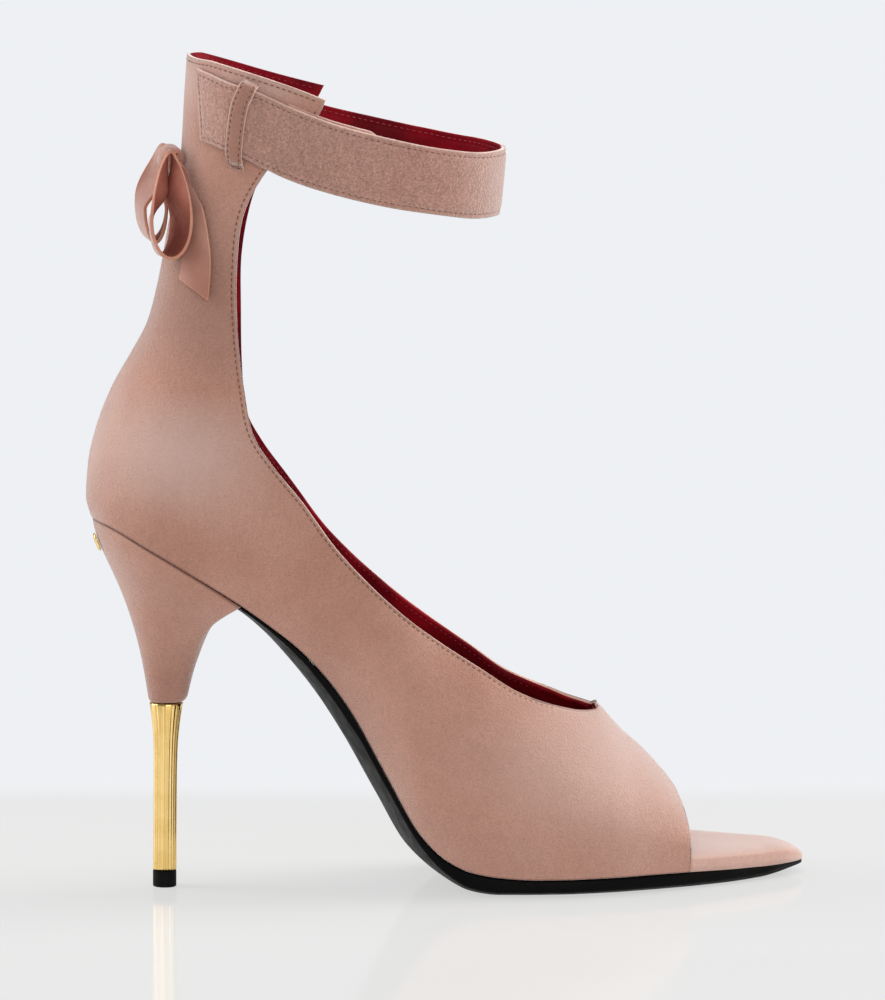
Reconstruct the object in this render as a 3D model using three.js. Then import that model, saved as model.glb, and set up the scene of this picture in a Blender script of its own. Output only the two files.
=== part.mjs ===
// High-heeled suede sandal for a right foot: open toe, tall back shaft with wings, ankle strap and ribbon bow.
// Millimetres. +X points to the toe, +Z up, +Y to the inner side of the foot, -Y to its outer side.
// The origin is the middle of the top piece's foot, on the floor.
import * as THREE from "three";

// Last and sole
const footLength = 209; // back of the heel seat to the tip of the toe
const backReach = 21; // back of the heel seat behind the origin
const seatHeight = 108.3; // feather edge at the back of the heel, above the floor
const soleDepth = 5.1; // floor to feather edge under the ball
const toeSpring = 2.8; // underside of the toe tip above the floor
const ballWidth = 76;
const waistWidth = 34;
const seatWidth = 47;
const seatRound = 26; // length over which the heel seat rounds off at the back
const tipRound = 14; // length over which the toe tip rounds off
const toeSwing = 2.2; // toe tip towards the inner side

// Upper
const upperWall = 1.8;
const shaftHeight = 135; // feather edge to collar, up the back seam
const shaftLean = 28; // collar in front of the back of the heel seat
const shaftWidth = 46; // across the ankle
const instepHeight = 46; // throat above the feather edge
const throatReach = 126.9; // throat in front of the origin
const toeOpening = 150.2; // front edge of the vamp in front of the origin
const openingLean = 1.4; // how far the top of that edge leans back
const openingBelly = 1.5; // how far it bows forward at half height
const innerEdgeForward = 8; // inner side of the shaft is cut at most this much further forward

// Heel, sole and insole
const clearance = 0.3; // between pieces that touch
const breastReach = 22.4; // front of the heel block, at its top, in front of the origin
const insoleThickness = 3;
const footbedThickness = 5; // padded, suede-wrapped insole that shows in front of the vamp
const footbedNose = 12; // length over which it thins to the toe tip
const topPieceHeight = 4.7;
const topPieceLength = 6.8;
const topPieceWidth = 7.4;
const stemTop = 53.9; // gold stem meets the covered heel block at this height
const stemNeck = 9.8; // length of the stem there
const stemShank = 6.7; // length of the stem at its slimmest
const fluteCount = 12;
const fluteDepth = 0.3;

// Ankle strap, keeper, bow and stud
const strapWidth = 19.4;
const strapThickness = 2.2;
const strapNose = 96.9; // inner face at the front of the ankle, in front of the origin
const strapTilt = 0.9; // its upper edge there in front of its middle
const strapSwell = 2.6; // how far the strap stands away from the line of the wings
const keeperWidth = 4;
const keeperThickness = 1.2;
const keeperReach = 20.3; // keeper in front of the origin, at the strap's middle
const keeperTail = 3.6; // sewn end of the keeper below the strap
const ribbonThickness = 1.2;
const knotHigh = 0.875; // middle of the bow's knot, as a share of the collar's height
const knotWidth = 12.4;
const knotHeight = 7;
const knotDepth = 6.4;
const loopDrop = 30.7; // length of the outer bow loop
const loopSplay = 10.5; // width of the ribbon, away from the back seam
const tailDrop = 39.5; // length of a bow tail at its point
const tailCut = 5.5; // how much shorter its other corner is

const collarHeight = seatHeight + shaftHeight;
const rise = seatHeight - soleDepth;

// Profile of the shoe's bottom. along: share of footLength from the back. feather and tread: shares of rise.
// lift: share of toeSpring. depth: share of soleDepth.
const bottomRows = [
  { along: 0.0, feather: 1.0, tread: 1.0, lift: 0, depth: 1 },
  { along: 0.014, feather: 0.992, tread: 0.99, lift: 0, depth: 1 },
  { along: 0.06, feather: 0.941, tread: 0.94, lift: 0, depth: 1 },
  { along: 0.13, feather: 0.855, tread: 0.87, lift: 0, depth: 1 },
  { along: 0.198, feather: 0.764, tread: 0.79, lift: 0, depth: 1 },
  { along: 0.235, feather: 0.708, tread: 0.728, lift: 0, depth: 1 },
  { along: 0.279, feather: 0.635, tread: 0.63, lift: 0, depth: 1 },
  { along: 0.315, feather: 0.557, tread: 0.535, lift: 0, depth: 1 },
  { along: 0.351, feather: 0.455, tread: 0.42, lift: 0, depth: 1 },
  { along: 0.397, feather: 0.28, tread: 0.252, lift: 0, depth: 1 },
  { along: 0.441, feather: 0.117, tread: 0.1, lift: 0, depth: 1 },
  { along: 0.475, feather: 0.049, tread: 0.042, lift: 0, depth: 1 },
  { along: 0.509, feather: 0.018, tread: 0.01, lift: 0, depth: 1 },
  { along: 0.546, feather: 0.006, tread: 0, lift: 0, depth: 1 },
  { along: 0.6, feather: 0, tread: 0, lift: 0, depth: 1 },
  { along: 0.74, feather: 0, tread: 0, lift: 0, depth: 1 },
  { along: 0.818, feather: 0, tread: 0, lift: 0, depth: 0.95 },
  { along: 0.87, feather: 0, tread: 0, lift: 0.03, depth: 0.85 },
  { along: 0.926, feather: 0, tread: 0, lift: 0.17, depth: 0.69 },
  { along: 0.954, feather: 0, tread: 0, lift: 0.45, depth: 0.52 },
  { along: 0.976, feather: 0, tread: 0, lift: 0.75, depth: 0.34 },
  { along: 1.0, feather: 0, tread: 0, lift: 1, depth: 0.2 },
];

// Outline of the feather edge. outer and inner: half widths as shares of the named width of that stretch.
const outlineRows = [
  { along: 0.0, width: seatWidth, outer: 0.5, inner: 0.5 },
  { along: 0.1, width: seatWidth, outer: 0.5, inner: 0.5 },
  { along: 0.196, width: seatWidth, outer: 0.42, inner: 0.41 },
  { along: 0.278, width: waistWidth, outer: 0.5, inner: 0.48 },
  { along: 0.349, width: waistWidth, outer: 0.52, inner: 0.45 },
  { along: 0.397, width: ballWidth, outer: 0.275, inner: 0.225 },
  { along: 0.44, width: ballWidth, outer: 0.345, inner: 0.28 },
  { along: 0.507, width: ballWidth, outer: 0.437, inner: 0.385 },
  { along: 0.579, width: ballWidth, outer: 0.488, inner: 0.456 },
  { along: 0.636, width: ballWidth, outer: 0.5, inner: 0.487 },
  { along: 0.699, width: ballWidth, outer: 0.477, inner: 0.492 },
  { along: 0.756, width: ballWidth, outer: 0.43, inner: 0.46 },
  { along: 0.818, width: ballWidth, outer: 0.368, inner: 0.392 },
  { along: 0.885, width: ballWidth, outer: 0.285, inner: 0.3 },
  { along: 0.933, width: ballWidth, outer: 0.21, inner: 0.22 },
  { along: 1.0, width: ballWidth, outer: 0.125, inner: 0.125 },
];

// Shape of the last above the feather edge. bulge: share of ballWidth that the wall swells past the edge.
// girth: height of the widest line, and crown: height of the ridge, as shares of instepHeight.
// crest: how sharp the ridge is.
const lastRows = [
  { along: 0.0, bulge: 0.03, girth: 0.33, crown: 3.1, crest: 1.6 },
  { along: 0.1, bulge: 0.04, girth: 0.36, crown: 3.1, crest: 1.6 },
  { along: 0.196, bulge: 0.085, girth: 0.52, crown: 2.8, crest: 1.6 },
  { along: 0.278, bulge: 0.128, girth: 0.64, crown: 2.49, crest: 1.6 },
  { along: 0.349, bulge: 0.143, girth: 0.64, crown: 2.28, crest: 1.5 },
  { along: 0.411, bulge: 0.118, girth: 0.56, crown: 2.17, crest: 1.4 },
  { along: 0.507, bulge: 0.04, girth: 0.38, crown: 1.98, crest: 1.3 },
  { along: 0.579, bulge: 0.02, girth: 0.3, crown: 1.63, crest: 1.25 },
  { along: 0.641, bulge: 0.017, girth: 0.26, crown: 1.31, crest: 1.25 },
  { along: 0.708, bulge: 0.017, girth: 0.24, crown: 1.0, crest: 1.35 },
  { along: 0.74, bulge: 0.017, girth: 0.22, crown: 0.835, crest: 1.5 },
  { along: 0.768, bulge: 0.017, girth: 0.2, crown: 0.72, crest: 1.65 },
  { along: 0.796, bulge: 0.016, girth: 0.18, crown: 0.585, crest: 1.75 },
  { along: 0.818, bulge: 0.016, girth: 0.16, crown: 0.46, crest: 1.8 },
];

// Back shaft. up: share of shaftHeight. back: share of shaftLean. width and wrap: shares of shaftWidth.
const shaftRows = [
  { up: 0.0, back: 0.0, width: 1.08, wrap: 0.565 },
  { up: 0.045, back: -0.053, width: 1.13, wrap: 0.6 },
  { up: 0.115, back: -0.032, width: 1.17, wrap: 0.62 },
  { up: 0.2, back: 0.061, width: 1.15, wrap: 0.61 },
  { up: 0.275, back: 0.204, width: 1.1, wrap: 0.59 },
  { up: 0.355, back: 0.42, width: 1.03, wrap: 0.55 },
  { up: 0.425, back: 0.593, width: 0.98, wrap: 0.52 },
  { up: 0.507, back: 0.7, width: 0.94, wrap: 0.49 },
  { up: 0.62, back: 0.8, width: 0.93, wrap: 0.48 },
  { up: 0.78, back: 0.94, width: 1.0, wrap: 0.49 },
  { up: 0.915, back: 0.98, width: 1.06, wrap: 0.51 },
  { up: 1.0, back: 1.01, width: 1.09, wrap: 0.52 },
];

// Front edge of the shaft and topline, from the wing's corner to the throat. along: share of footLength.
// high: share of collarHeight. ahead: share of innerEdgeForward, on the inner side.
const edgeRows = [
  { along: 0.312, high: 0.951, ahead: 0.72 },
  { along: 0.303, high: 0.934, ahead: 0.68 },
  { along: 0.267, high: 0.902, ahead: 0.8 },
  { along: 0.229, high: 0.862, ahead: 0.95 },
  { along: 0.2035, high: 0.815, ahead: 0.93 },
  { along: 0.194, high: 0.75, ahead: 0.74 },
  { along: 0.194, high: 0.68, ahead: 0.74 },
  { along: 0.2, high: 0.61, ahead: 0.66 },
  { along: 0.21, high: 0.555, ahead: 0.58 },
  { along: 0.235, high: 0.52, ahead: 0.48 },
  { along: 0.2775, high: 0.474, ahead: 0.38 },
  { along: 0.33, high: 0.412, ahead: 0.43 },
  { along: 0.413, high: 0.341, ahead: 0.575 },
  { along: 0.469, high: 0.304, ahead: 0.575 },
  { along: 0.525, high: 0.272, ahead: 0.49 },
  { along: 0.583, high: 0.24, ahead: 0.345 },
  { along: 0.643, high: 0.217, ahead: 0.17 },
  { along: 0.675, high: 0.21, ahead: 0.06 },
  { along: 0.7, high: 0.2075, ahead: 0 },
];
const splitRow = 10; // the row of edgeRows where the quarter passes into the vamp

// Ankle strap. along: share of footLength. high: its middle, as a share of collarHeight. far: extra on the
// inner side. tall: its upright height as a share of strapWidth, more where it slants.
const strapRows = [
  { along: 0.134, high: 0.9467, far: 0, tall: 0.96 },
  { along: 0.165, high: 0.9435, far: 0, tall: 0.94 },
  { along: 0.196, high: 0.929, far: 0, tall: 1.05 },
  { along: 0.254, high: 0.903, far: 0.003, tall: 1.09 },
  { along: 0.325, high: 0.8806, far: 0.005, tall: 1.07 },
  { along: 0.397, high: 0.865, far: 0.0055, tall: 1.04 },
  { along: 0.474, high: 0.8514, far: 0.006, tall: 1 },
  { along: 0.531, high: 0.8435, far: 0.006, tall: 1 },
  { along: 0.57, high: 0.842, far: 0.001, tall: 1 },
];

// Curve through a table's rows: cubic pieces that never overshoot them.
function curveThrough(rows, at, value) {
  const xs = rows.map(at);
  const ys = rows.map(value);
  const slope = xs.slice(1).map((x, i) => (ys[i + 1] - ys[i]) / (x - xs[i]));
  const tangent = ys.map((y, i) => {
    if (i === 0) return slope[0];
    if (i === slope.length) return slope[i - 1];
    if (slope[i - 1] * slope[i] <= 0) return 0;
    return (2 * slope[i - 1] * slope[i]) / (slope[i - 1] + slope[i]);
  });
  return (x) => {
    if (x <= xs[0]) return ys[0];
    if (x >= xs[xs.length - 1]) return ys[ys.length - 1];
    let i = 0;
    while (x > xs[i + 1]) i += 1;
    const h = xs[i + 1] - xs[i];
    const t = (x - xs[i]) / h;
    const s = 1 - t;
    return (
      ys[i] * s * s * (1 + 2 * t) +
      ys[i + 1] * t * t * (3 - 2 * t) +
      h * t * s * (tangent[i] * s - tangent[i + 1] * t)
    );
  };
}

const mix = (a, b, t) => a + (b - a) * t;
const clamp01 = (t) => Math.min(1, Math.max(0, t));
const smooth = (t) => clamp01(t) ** 2 * (3 - 2 * clamp01(t));
// Quarter of a superellipse: 0 at t = 0 with an upright start, 1 from t = 1 on.
const roundOff = (t, power) => (1 - (1 - clamp01(t)) ** power) ** (1 / power);

const alongOf = (x) => (x + backReach) / footLength;
const xOf = (along) => along * footLength - backReach;
const column = (rows, name) => curveThrough(rows, (r) => r.along, (r) => r[name]);

const featherRise = column(bottomRows, "feather");
const treadRise = column(bottomRows, "tread");
const toeLift = column(bottomRows, "lift");
const depthShare = column(bottomRows, "depth");
const featherZ = (x) =>
  rise * featherRise(alongOf(x)) + toeSpring * toeLift(alongOf(x)) + soleDepth * depthShare(alongOf(x));
const treadZ = (x) => rise * treadRise(alongOf(x)) + toeSpring * toeLift(alongOf(x));

const halfWidth = {
  outer: curveThrough(outlineRows, (r) => r.along, (r) => r.width * r.outer),
  inner: curveThrough(outlineRows, (r) => r.along, (r) => r.width * r.inner),
};
const sideSign = { outer: -1, inner: 1 };
const toeTip = xOf(1);
// Half width of the feather edge from the centre line of the last, or of a line set in from it.
function edgeWidth(side, x, inset = 0) {
  const seat = roundOff((x + backReach - inset) / (seatRound - inset), 2.2);
  const tip = roundOff((toeTip - inset - x) / (tipRound - inset), 2);
  return (halfWidth[side](alongOf(x)) - inset) * seat * tip;
}
const centreY = (x) => toeSwing * smooth((alongOf(x) - 0.7) / 0.3);

const bulge = column(lastRows, "bulge");
const girth = column(lastRows, "girth");
const crown = column(lastRows, "crown");
const crest = column(lastRows, "crest");
const ridgeZ = (x) => featherZ(x) + instepHeight * crown(alongOf(x));

const shaftColumn = (name) => curveThrough(shaftRows, (r) => r.up, (r) => r[name]);
const backShare = shaftColumn("back");
const shaftShare = shaftColumn("width");
const wrapShare = shaftColumn("wrap");
const upOf = (z) => (z - seatHeight) / shaftHeight;
const backX = (z) => shaftLean * backShare(upOf(z)) - backReach;

// Half width of the upper's outer face at a point of the side view, from the centre line.
// The shaft wraps round from the back seam, the vamp is a dome over the foot, and the two run
// into each other across the ankle. Below the widest line the wall curves in to the feather edge.
function upperWidth(side, x, z) {
  const fromBack = x - backX(z);
  const edge = edgeWidth(side, fromBack + backX(seatHeight));
  const shaft = (shaftWidth / 2) * shaftShare(upOf(z)) * roundOff(fromBack / (shaftWidth * wrapShare(upOf(z))), 2);
  const girthZ = featherZ(x) + instepHeight * girth(alongOf(x));
  const widest = edgeWidth(side, x) + ballWidth * bulge(alongOf(x));
  const climb = clamp01((z - girthZ) / (ridgeZ(x) - girthZ));
  const dome = widest * (1 - climb ** 2) ** (1 / crest(alongOf(x)));
  const forward = smooth((x - 0.6 * (z - 0.92 * seatHeight)) / (0.29 * footLength));
  const low = clamp01((z - featherZ(x)) / (girthZ - featherZ(x)));
  return mix(edge, mix(shaft, dome, forward), 1 - (1 - low) ** 2);
}
const upperPoint = (side, x, z) =>
  new THREE.Vector3(x, centreY(x) + sideSign[side] * upperWidth(side, x, z), z);

// Front edge of the shaft and topline on one side, from the wing's corner down to the throat.
function edgeCurve(side) {
  const forward = side === "inner" ? innerEdgeForward : 0;
  return edgeRows.map((r) => new THREE.Vector3(xOf(r.along) + forward * r.ahead, 0, collarHeight * r.high));
}
// Smooth path through points, cut into equal steps between two of them.
function stepsBetween(points, from, to, count) {
  const curve = new THREE.CatmullRomCurve3(points, false, "centripetal");
  const at = (i) => i / (points.length - 1);
  const fine = 24 * (points.length - 1);
  const samples = [];
  for (let i = 0; i <= fine; i += 1) samples.push(curve.getPoint(mix(at(from), at(to), i / fine)));
  const lengths = [0];
  for (let i = 1; i <= fine; i += 1) lengths.push(lengths[i - 1] + samples[i].distanceTo(samples[i - 1]));
  const steps = [];
  for (let k = 0; k <= count; k += 1) {
    const wanted = (lengths[fine] * k) / count;
    const i = Math.max(1, lengths.findIndex((l) => l >= wanted - 1e-9));
    const t = (wanted - lengths[i - 1]) / (lengths[i] - lengths[i - 1]);
    steps.push(samples[i - 1].clone().lerp(samples[i], t));
  }
  return steps;
}

// A mesh under construction: points are shared by their place, faces are lists of three points.
class Surface {
  constructor() {
    this.points = [];
    this.faces = [];
    this.index = new Map();
  }
  add(p) {
    const key = [p.x, p.y, p.z].map((v) => Math.round(v * 2000)).join();
    if (!this.index.has(key)) {
      this.index.set(key, this.points.length);
      this.points.push(p.clone());
    }
    return this.index.get(key);
  }
  triangle(a, b, c) {
    const ids = [a, b, c].map((p) => this.add(p));
    if (new Set(ids).size === 3) this.faces.push(ids);
  }
  // Rows of points as quads. flip turns the faces round.
  grid(rows, flip = false) {
    for (let j = 0; j + 1 < rows.length; j += 1) {
      for (let i = 0; i + 1 < rows[j].length; i += 1) {
        const [a, b, c, d] = [rows[j][i], rows[j][i + 1], rows[j + 1][i + 1], rows[j + 1][i]];
        if (flip) {
          this.triangle(a, c, b);
          this.triangle(a, d, c);
        } else {
          this.triangle(a, b, c);
          this.triangle(a, c, d);
        }
      }
    }
  }
  // Fan from a middle point over a ring.
  cap(ring, middle, flip = false) {
    ring.forEach((p, i) => {
      const q = ring[(i + 1) % ring.length];
      if (flip) this.triangle(middle, q, p);
      else this.triangle(middle, p, q);
    });
  }
  normals() {
    const sum = this.points.map(() => new THREE.Vector3());
    this.faces.forEach(([a, b, c]) => {
      const ab = this.points[b].clone().sub(this.points[a]);
      const ac = this.points[c].clone().sub(this.points[a]);
      const n = ab.cross(ac);
      [a, b, c].forEach((i) => sum[i].add(n));
    });
    return sum.map((n) => n.normalize());
  }
  // Gives an open surface a wall behind its faces, closed all round its rim.
  thicken(wall) {
    const normals = this.normals();
    const count = this.points.length;
    const outer = this.faces.slice();
    this.points.slice().forEach((p, i) => this.points.push(p.clone().addScaledVector(normals[i], -wall)));
    const edges = new Map();
    outer.forEach((f) => f.forEach((a, i) => edges.set(a + "," + f[(i + 1) % 3], [a, f[(i + 1) % 3]])));
    edges.forEach(([a, b]) => {
      if (edges.has(b + "," + a)) return;
      this.faces.push([b, a, a + count], [b, a + count, b + count]);
    });
    outer.forEach(([a, b, c]) => this.faces.push([a + count, c + count, b + count]));
    return this;
  }
  geometry() {
    const geometry = new THREE.BufferGeometry();
    geometry.setAttribute(
      "position",
      new THREE.Float32BufferAttribute(this.points.flatMap((p) => [p.x, p.y, p.z]), 3),
    );
    geometry.setIndex(this.faces.flat());
    geometry.computeVertexNormals();
    return geometry;
  }
}

const shoe = new THREE.Group();
function piece(name, surface, color, roughness, metalness = 0) {
  const material = new THREE.MeshStandardMaterial({ color, roughness, metalness });
  const mesh = new THREE.Mesh(surface.geometry(), material);
  mesh.name = name;
  shoe.add(mesh);
}
const suede = 0xc89b8a;
const ribbon = 0xc99784;
const gold = 0xd8a94a;
const black = 0x141414;

// Upper: each side is two sheets of quads. The quarter runs from the back seam to the front edge
// of the shaft. The vamp runs from there to the open toe, and meets the other side on the ridge.
const quarterColumns = 12;
const vampRowsUp = 9;
const shaftRowsUp = 19;
const throatColumns = 23;
const toeColumns = 6;

function quarterRows(side) {
  const edge = edgeCurve(side);
  const top = stepsBetween(edge, splitRow, 0, shaftRowsUp);
  const split = edge[splitRow];
  const splitBottom = featherZ(split.x);
  const ankleZ = mix(seatHeight, collarHeight, 0.2);
  const rows = [];
  for (let j = 0; j <= vampRowsUp + shaftRowsUp; j += 1) {
    const low = Math.min(1, j / vampRowsUp);
    const high = Math.max(0, (j - vampRowsUp) / shaftRowsUp);
    const backZ = high > 0 ? mix(ankleZ, collarHeight, high) : mix(seatHeight, ankleZ, low);
    const front = high > 0 ? top[j - vampRowsUp] : new THREE.Vector3(split.x, 0, mix(splitBottom, split.z, low));
    const row = [];
    for (let i = 0; i <= quarterColumns; i += 1) {
      const t = (i / quarterColumns) ** 1.7;
      const x = mix(backX(backZ), front.x, t);
      // The lowest rows follow the feather edge, the ones above run straight.
      const sag = featherZ(mix(-backReach, split.x, t)) - mix(seatHeight, splitBottom, t);
      const z = mix(backZ, front.z, t) + sag * (1 - smooth(j / (vampRowsUp * 1.6)));
      row.push(upperPoint(side, x, j === 0 ? featherZ(x) : z));
    }
    rows.push(row);
  }
  return rows;
}

function vampRows(side) {
  const edge = edgeCurve(side);
  const toplineZ = curveThrough(edge.slice(splitRow), (p) => p.x, (p) => p.z);
  const split = edge[splitRow].x;
  const columns = [];
  for (let i = 0; i <= throatColumns + toeColumns; i += 1) {
    const beforeThroat = i < throatColumns;
    const topX = beforeThroat
      ? mix(split, throatReach, i / throatColumns)
      : mix(throatReach, toeOpening - openingLean, (i - throatColumns) / toeColumns);
    const share = (topX - split) / (toeOpening - openingLean - split);
    const rounding = smooth((topX - 0.75 * throatReach) / (0.25 * throatReach));
    const points = [];
    for (let k = 0; k <= vampRowsUp; k += 1) {
      const v = k / vampRowsUp;
      const up = mix(v, 1 - (1 - v) ** 1.8, rounding);
      const frontX = toeOpening - openingLean * up + openingBelly * 4 * up * (1 - up) * 0.6;
      const x = mix(split, frontX, share);
      const topZ = beforeThroat ? Math.min(toplineZ(topX), ridgeZ(topX)) : ridgeZ(topX);
      const z = mix(featherZ(x), topZ, up);
      const onRidge = k === vampRowsUp && !beforeThroat;
      points.push(onRidge ? new THREE.Vector3(topX, centreY(topX), topZ) : upperPoint(side, x, z));
    }
    columns.push(points);
  }
  return columns;
}

const upper = new Surface();
["outer", "inner"].forEach((side) => {
  upper.grid(quarterRows(side), side === "inner");
  upper.grid(vampRows(side), side === "outer");
});
piece("upper", upper.thicken(upperWall), suede, 0.95);

// Direction square to the feather profile in the side view, pointing up and forward.
function profileNormal(x) {
  const step = 0.5;
  const slope = (featherZ(x + step) - featherZ(x - step)) / (2 * step);
  return new THREE.Vector3(-slope, 0, 1).normalize();
}
// Skin over a row of rings, closed at both ends. flip turns it inside out.
function loft(rings, flip = false) {
  const body = new Surface();
  body.grid(rings.map((ring) => [...ring, ring[0]]), flip);
  const middle = (ring) => ring.reduce((sum, p) => sum.add(p), new THREE.Vector3()).divideScalar(ring.length);
  const last = rings[rings.length - 1];
  body.cap(rings[0], middle(rings[0]), !flip);
  body.cap(last, middle(last), flip);
  return body;
}
const spaced = (from, to, count, power = 1) =>
  Array.from({ length: count + 1 }, (_, i) => mix(from, to, 1 - (1 - i / count) ** power));

// Outsole: thin and crowned in the waist, flat on the floor under the ball, rising to the toe tip.
const soleInset = 0.6;
const treadCorner = 0.18; // share of the tread that turns up at each side under the ball
const treadTurn = 1.3; // how far it turns up there
const waistTurn = 2.6; // how far the edge of the waist lies above its middle
function outsoleRing(x) {
  const drop = profileNormal(x).multiplyScalar(-clearance);
  const top = featherZ(x) + drop.z;
  const waist = 1 - smooth((alongOf(x) - 0.42) / 0.1);
  const flat = mix(1 - treadCorner, 0, waist);
  const depth = top - treadZ(x + drop.x);
  const turn = Math.min(mix(treadTurn, waistTurn / profileNormal(x).z, waist), 0.62 * depth);
  const ring = [];
  const place = (share, z) => {
    const side = share < 0 ? "outer" : "inner";
    ring.push(new THREE.Vector3(x + drop.x, centreY(x) + share * edgeWidth(side, x, soleInset), z));
  };
  const across = [1, 0.93, 0.8, 0.4, 0, -0.4, -0.8, -0.93, -1];
  across.forEach((share) => {
    const out = Math.max(0, Math.abs(share) - flat) / (1 - flat);
    place(share, treadZ(x + drop.x) + turn * out ** 2);
  });
  [-1, -0.5, 0, 0.5, 1].forEach((share) => place(share, top));
  return ring;
}
const soleStations = [
  ...spaced(breastReach + clearance + 0.1, xOf(0.56), 20).slice(0, -1),
  ...spaced(xOf(0.56), toeTip - soleInset - 0.15, 18, 1.7),
];
piece("outsole", loft(soleStations.map(outsoleRing), true), black, 0.25);

// Insole: inside the upper as far as the open toe, then as wide as the sole and padded.
const insoleStep = toeOpening + 1.5;
const insoleInset = upperWall + 2 * clearance;
const footbedInset = 0.4;
function insoleRing(x, shown) {
  const normal = profileNormal(x);
  const padding = footbedThickness * roundOff((toeTip - x) / footbedNose, 2);
  const thickness = shown ? padding : insoleThickness;
  const inset = shown ? footbedInset : insoleInset;
  const ring = [];
  const rows = [
    { share: 1, up: 0 },
    { share: -1, up: 0 },
    { share: -1, up: 0.72 },
    { share: -0.93, up: 0.93 },
    { share: -0.5, up: 1 },
    { share: 0, up: 1.05 },
    { share: 0.5, up: 1 },
    { share: 0.93, up: 0.93 },
    { share: 1, up: 0.72 },
  ];
  rows.forEach(({ share, up }) => {
    const side = share < 0 ? "outer" : "inner";
    const p = new THREE.Vector3(x, centreY(x) + share * edgeWidth(side, x, inset), featherZ(x));
    ring.push(p.addScaledVector(normal, up * thickness));
  });
  return ring;
}
const insoleStations = [
  ...spaced(insoleInset + 0.15 - backReach, 0, 7, 0.6),
  ...spaced(0, insoleStep, 34).slice(1),
];
const footbedStations = spaced(insoleStep + 0.1, toeTip - footbedInset - 0.15, 10, 1.7);
const isShown = new Set(footbedStations);
const insoleRings = [...insoleStations, ...footbedStations].map((x) => insoleRing(x, isShown.has(x)));
piece("insole", loft(insoleRings, true), suede, 0.95);

// Heel block: its top follows the seat's outline and slope, and it tapers to the stem.
// down: share of the way from the seat to the stem's top. back and front: places along the shoe, as shares
// of blockLength from the origin. wide: share of seatWidth.
const blockLength = backReach + breastReach;
const heelRows = [
  { down: 0.0, back: -0.472, front: 0.5, wide: 1.0 },
  { down: 0.1, back: -0.443, front: 0.423, wide: 0.9 },
  { down: 0.24, back: -0.366, front: 0.308, wide: 0.7 },
  { down: 0.41, back: -0.268, front: 0.242, wide: 0.5 },
  { down: 0.62, back: -0.179, front: 0.189, wide: 0.355 },
  { down: 0.83, back: -0.123, front: 0.154, wide: 0.262 },
  { down: 0.95, back: -0.099, front: 0.139, wide: 0.225 },
  { down: 1.0, back: -0.0895, front: 0.113, wide: 0.2 },
];
const heelColumn = (name) => curveThrough(heelRows, (r) => r.down, (r) => r[name]);
const heelBack = heelColumn("back");
const heelFront = heelColumn("front");
const heelWide = heelColumn("wide");
const stemNeckCentre = (blockLength * (heelBack(1) + heelFront(1))) / 2;

// One ring of the block. turn goes once round, from the middle of the breast.
function heelRing(down, count) {
  const ring = [];
  const back = -backReach + (heelBack(down) - heelBack(0)) * blockLength;
  const front = breastReach + (heelFront(down) - heelFront(0)) * blockLength;
  for (let k = 0; k < count; k += 1) {
    const turn = (2 * Math.PI * k) / count;
    const side = turn > Math.PI ? "outer" : "inner";
    // Seat outline: straight across the breast, then round the back.
    const reach = (1 - Math.cos(turn)) / 2;
    const breast = 0.1;
    const seatShare = reach < breast ? 1 : 1 - (reach - breast) / (1 - breast);
    const seatX = mix(-backReach + clearance, breastReach, seatShare);
    const seatY = edgeWidth(side, seatX, clearance) * (reach < breast ? Math.sqrt(reach / breast) : 1);
    const roundX = mix(back, front, (1 + Math.cos(turn)) / 2);
    const roundY = (seatWidth / 2) * heelWide(down) * Math.abs(Math.sin(turn)) ** 0.9;
    const blend = smooth(down / 0.45);
    const squeezedX = mix(back, front, (seatX + backReach) / blockLength);
    const x = mix(squeezedX, roundX, blend);
    const y = mix(seatY * heelWide(down), roundY, blend);
    const seatLine = featherZ(seatX) - clearance / profileNormal(seatX).z;
    ring.push(new THREE.Vector3(x, sideSign[side] * y, mix(seatLine, stemTop + clearance, down)));
  }
  return ring;
}
const heelRingCount = 28;
const blockRings = [0, 0.03, 0.1, 0.2, 0.32, 0.46, 0.62, 0.8, 0.95, 1].map((down) => heelRing(down, heelRingCount));
const block = new Surface();
block.grid(blockRings.map((ring) => [...ring, ring[0]]), true);
// The top is bridged straight across, so that it keeps the seat's slope.
const seatRing = blockRings[0];
for (let k = 0; k < heelRingCount / 2; k += 1) {
  const [a, b] = [seatRing[k], seatRing[k + 1]];
  const [c, d] = [seatRing[(heelRingCount - k - 1) % heelRingCount], seatRing[(heelRingCount - k) % heelRingCount]];
  block.triangle(a, b, c);
  block.triangle(a, c, d);
}
const neckRing = blockRings[blockRings.length - 1];
block.cap(neckRing, new THREE.Vector3(stemNeckCentre, 0, neckRing[0].z), true);
piece("heel_block", block, suede, 0.95);

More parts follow.
